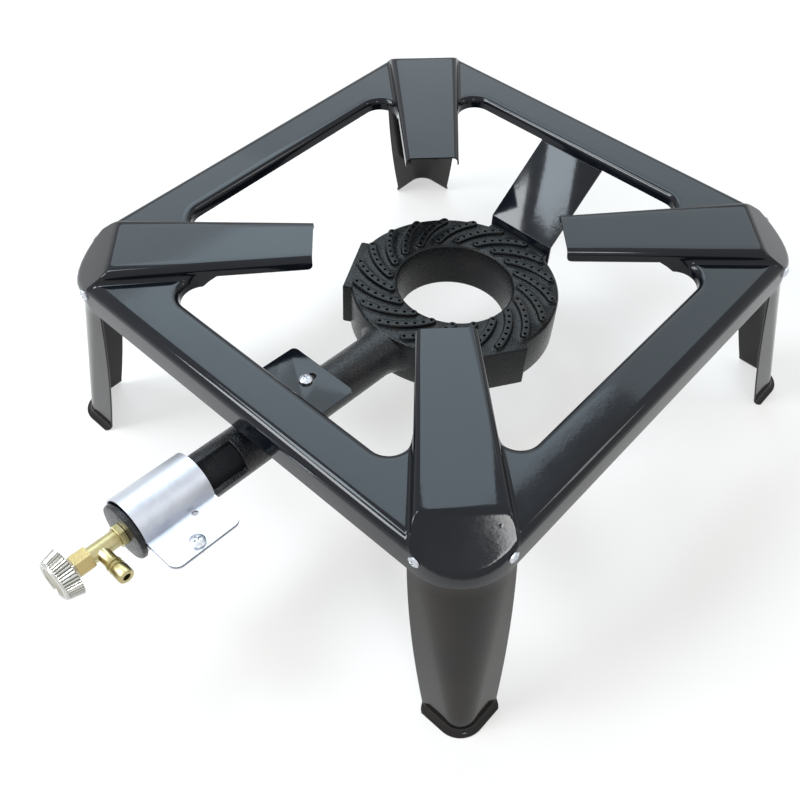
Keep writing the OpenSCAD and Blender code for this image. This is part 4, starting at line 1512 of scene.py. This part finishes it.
class Studio:
    """Camera, floor, world and lamps."""

    sensor = 36.0
    floor_half = 60.0
    floor_glow = 0.55
    fill_colour = (1.0, 0.95, 0.88)
    fill = 0.45
    camera_at = (0.3369, -0.3223, 0.6326)
    yaw, pitch, roll = 40.4, 52.1, 1.4
    lens = 41.4
    shift = (-0.0561, 0.0130)
    target = Vector((0.0, 0.05, 0.12))
    lamps = (
        Lamp("over_box", (-1.24, 1.07, 2.05), (1.52, 0.90), 20.0, (0.70, 0.88, 1.0), True),
        Lamp("far_box", (-1.35, 2.24, 2.05), (2.3, 1.44), 22.0, (0.72, 0.90, 1.0), True),
        Lamp("side_box", (-2.35, 1.07, 2.05), (0.70, 0.90), 5.5, (0.72, 0.90, 1.0), True),
        Lamp("strip_box", (-0.80, -0.42, 1.83), (0.60, 0.50), 13.0, (0.80, 0.91, 1.0)),
        Lamp("left_strip", (-0.92, -1.35, 1.60), (0.85, 0.62), 30.0, (0.93, 0.97, 1.0)),
        Lamp("right_strip", (1.45, 1.10, 1.45), (0.3, 0.5), 3.0),
        Lamp("nose_box", (1.40, -0.82, 1.66), (0.26, 0.34), 5.0),
    )

    def build(self) -> None:
        """Builds the studio."""
        self.place_camera()
        self.lay_floor()
        self.light_world()
        for lamp in self.lamps:
            lamp.build(self.target)

    def place_camera(self) -> None:
        """Sets the camera at the photograph's viewing angle."""
        data = bpy.data.cameras.new("camera")
        data.lens = self.lens
        data.sensor_width = self.sensor
        data.shift_x, data.shift_y = self.shift
        data.clip_start = 0.01
        camera = bpy.data.objects.new("camera", data)
        yaw, pitch = math.radians(self.yaw), math.radians(self.pitch)
        level = math.cos(pitch)
        way = Vector((-math.sin(yaw) * level, math.cos(yaw) * level, -math.sin(pitch)))
        roll = Matrix.Rotation(math.radians(self.roll), 3, "Z").to_quaternion()
        camera.rotation_mode = "QUATERNION"
        camera.rotation_quaternion = way.to_track_quat("-Z", "Y") @ roll
        camera.location = self.camera_at
        bpy.context.scene.collection.objects.link(camera)
        bpy.context.scene.camera = camera

    def lay_floor(self) -> None:
        """Lays a wide pale floor under the feet."""
        shape = Shape()
        bmesh.ops.create_grid(shape.bm, x_segments=4, y_segments=4, size=self.floor_half)
        mesh = bpy.data.meshes.new("floor")
        shape.bm.to_mesh(mesh)
        mesh.materials.append(self.floor_paint())
        floor = bpy.data.objects.new("floor", mesh)
        bpy.context.scene.collection.objects.link(floor)

    def floor_paint(self) -> bpy.types.Material:
        """Pale floor that seen rays find near white, with the object's shadow kept.

        Returns:
            The material.
        """
        paint = Paint("floor_paint")
        grain = paint.noise(40.0, 2.0)
        matt = paint.node("ShaderNodeBsdfPrincipled", {}, {
            "Base Color": paint.mixed(grain, (0.90, 0.89, 0.88), (0.93, 0.92, 0.91)),
            "Roughness": 0.8,
            "Specular IOR Level": 0.1,
        })
        glow = paint.node("ShaderNodeEmission", {}, {})
        return paint.ended(paint.node("ShaderNodeMixShader", {}, {
            0: paint.seen() * self.floor_glow, 1: matt, 2: glow,
        }))

    def light_world(self) -> None:
        """Lights evenly from all round, with white behind the object and in its gloss."""
        world = bpy.data.worlds.new("studio")
        bpy.context.scene.world = world
        world.use_nodes = True
        nodes = Nodes(world.node_tree)
        light, white = (
            nodes.node("ShaderNodeBackground", {}, {"Color": colour, "Strength": strength})
            for colour, strength in ((self.fill_colour, self.fill), ((1.0, 1.0, 1.0), 1.0))
        )
        mix = nodes.node("ShaderNodeMixShader", {}, {0: nodes.seen(), 1: light, 2: white})
        nodes.node("ShaderNodeOutputWorld", {}, {"Surface": mix})


def main() -> None:
    """Builds the whole scene."""
    logging.basicConfig(level=logging.INFO, format="%(message)s")
    bpy.context.scene.view_settings.view_transform = "Standard"
    Studio().build()
    finishes = Finishes()
    top = TopFrame()
    top.build(finishes)
    for quarter, corner in enumerate(("rear_right", "rear_left", "front_left", "front_right")):
        Leg(f"leg_{corner}", 90 * quarter).build(finishes, top)
    BurnerCasting().build(finishes)
    for fitting in FITTINGS:
        fitting.build(finishes)
    HoseBarb().build(finishes)
    Knob().build(finishes)
    # The cap's chrome is the darker, browner one, a painted reflection.
    Fitting("knob_cap", "chrome", 0.2, body=Body.HANDLE).build(finishes, finishes.knob_disc_painted_reflection)


if __name__ == "__main__":
    main()
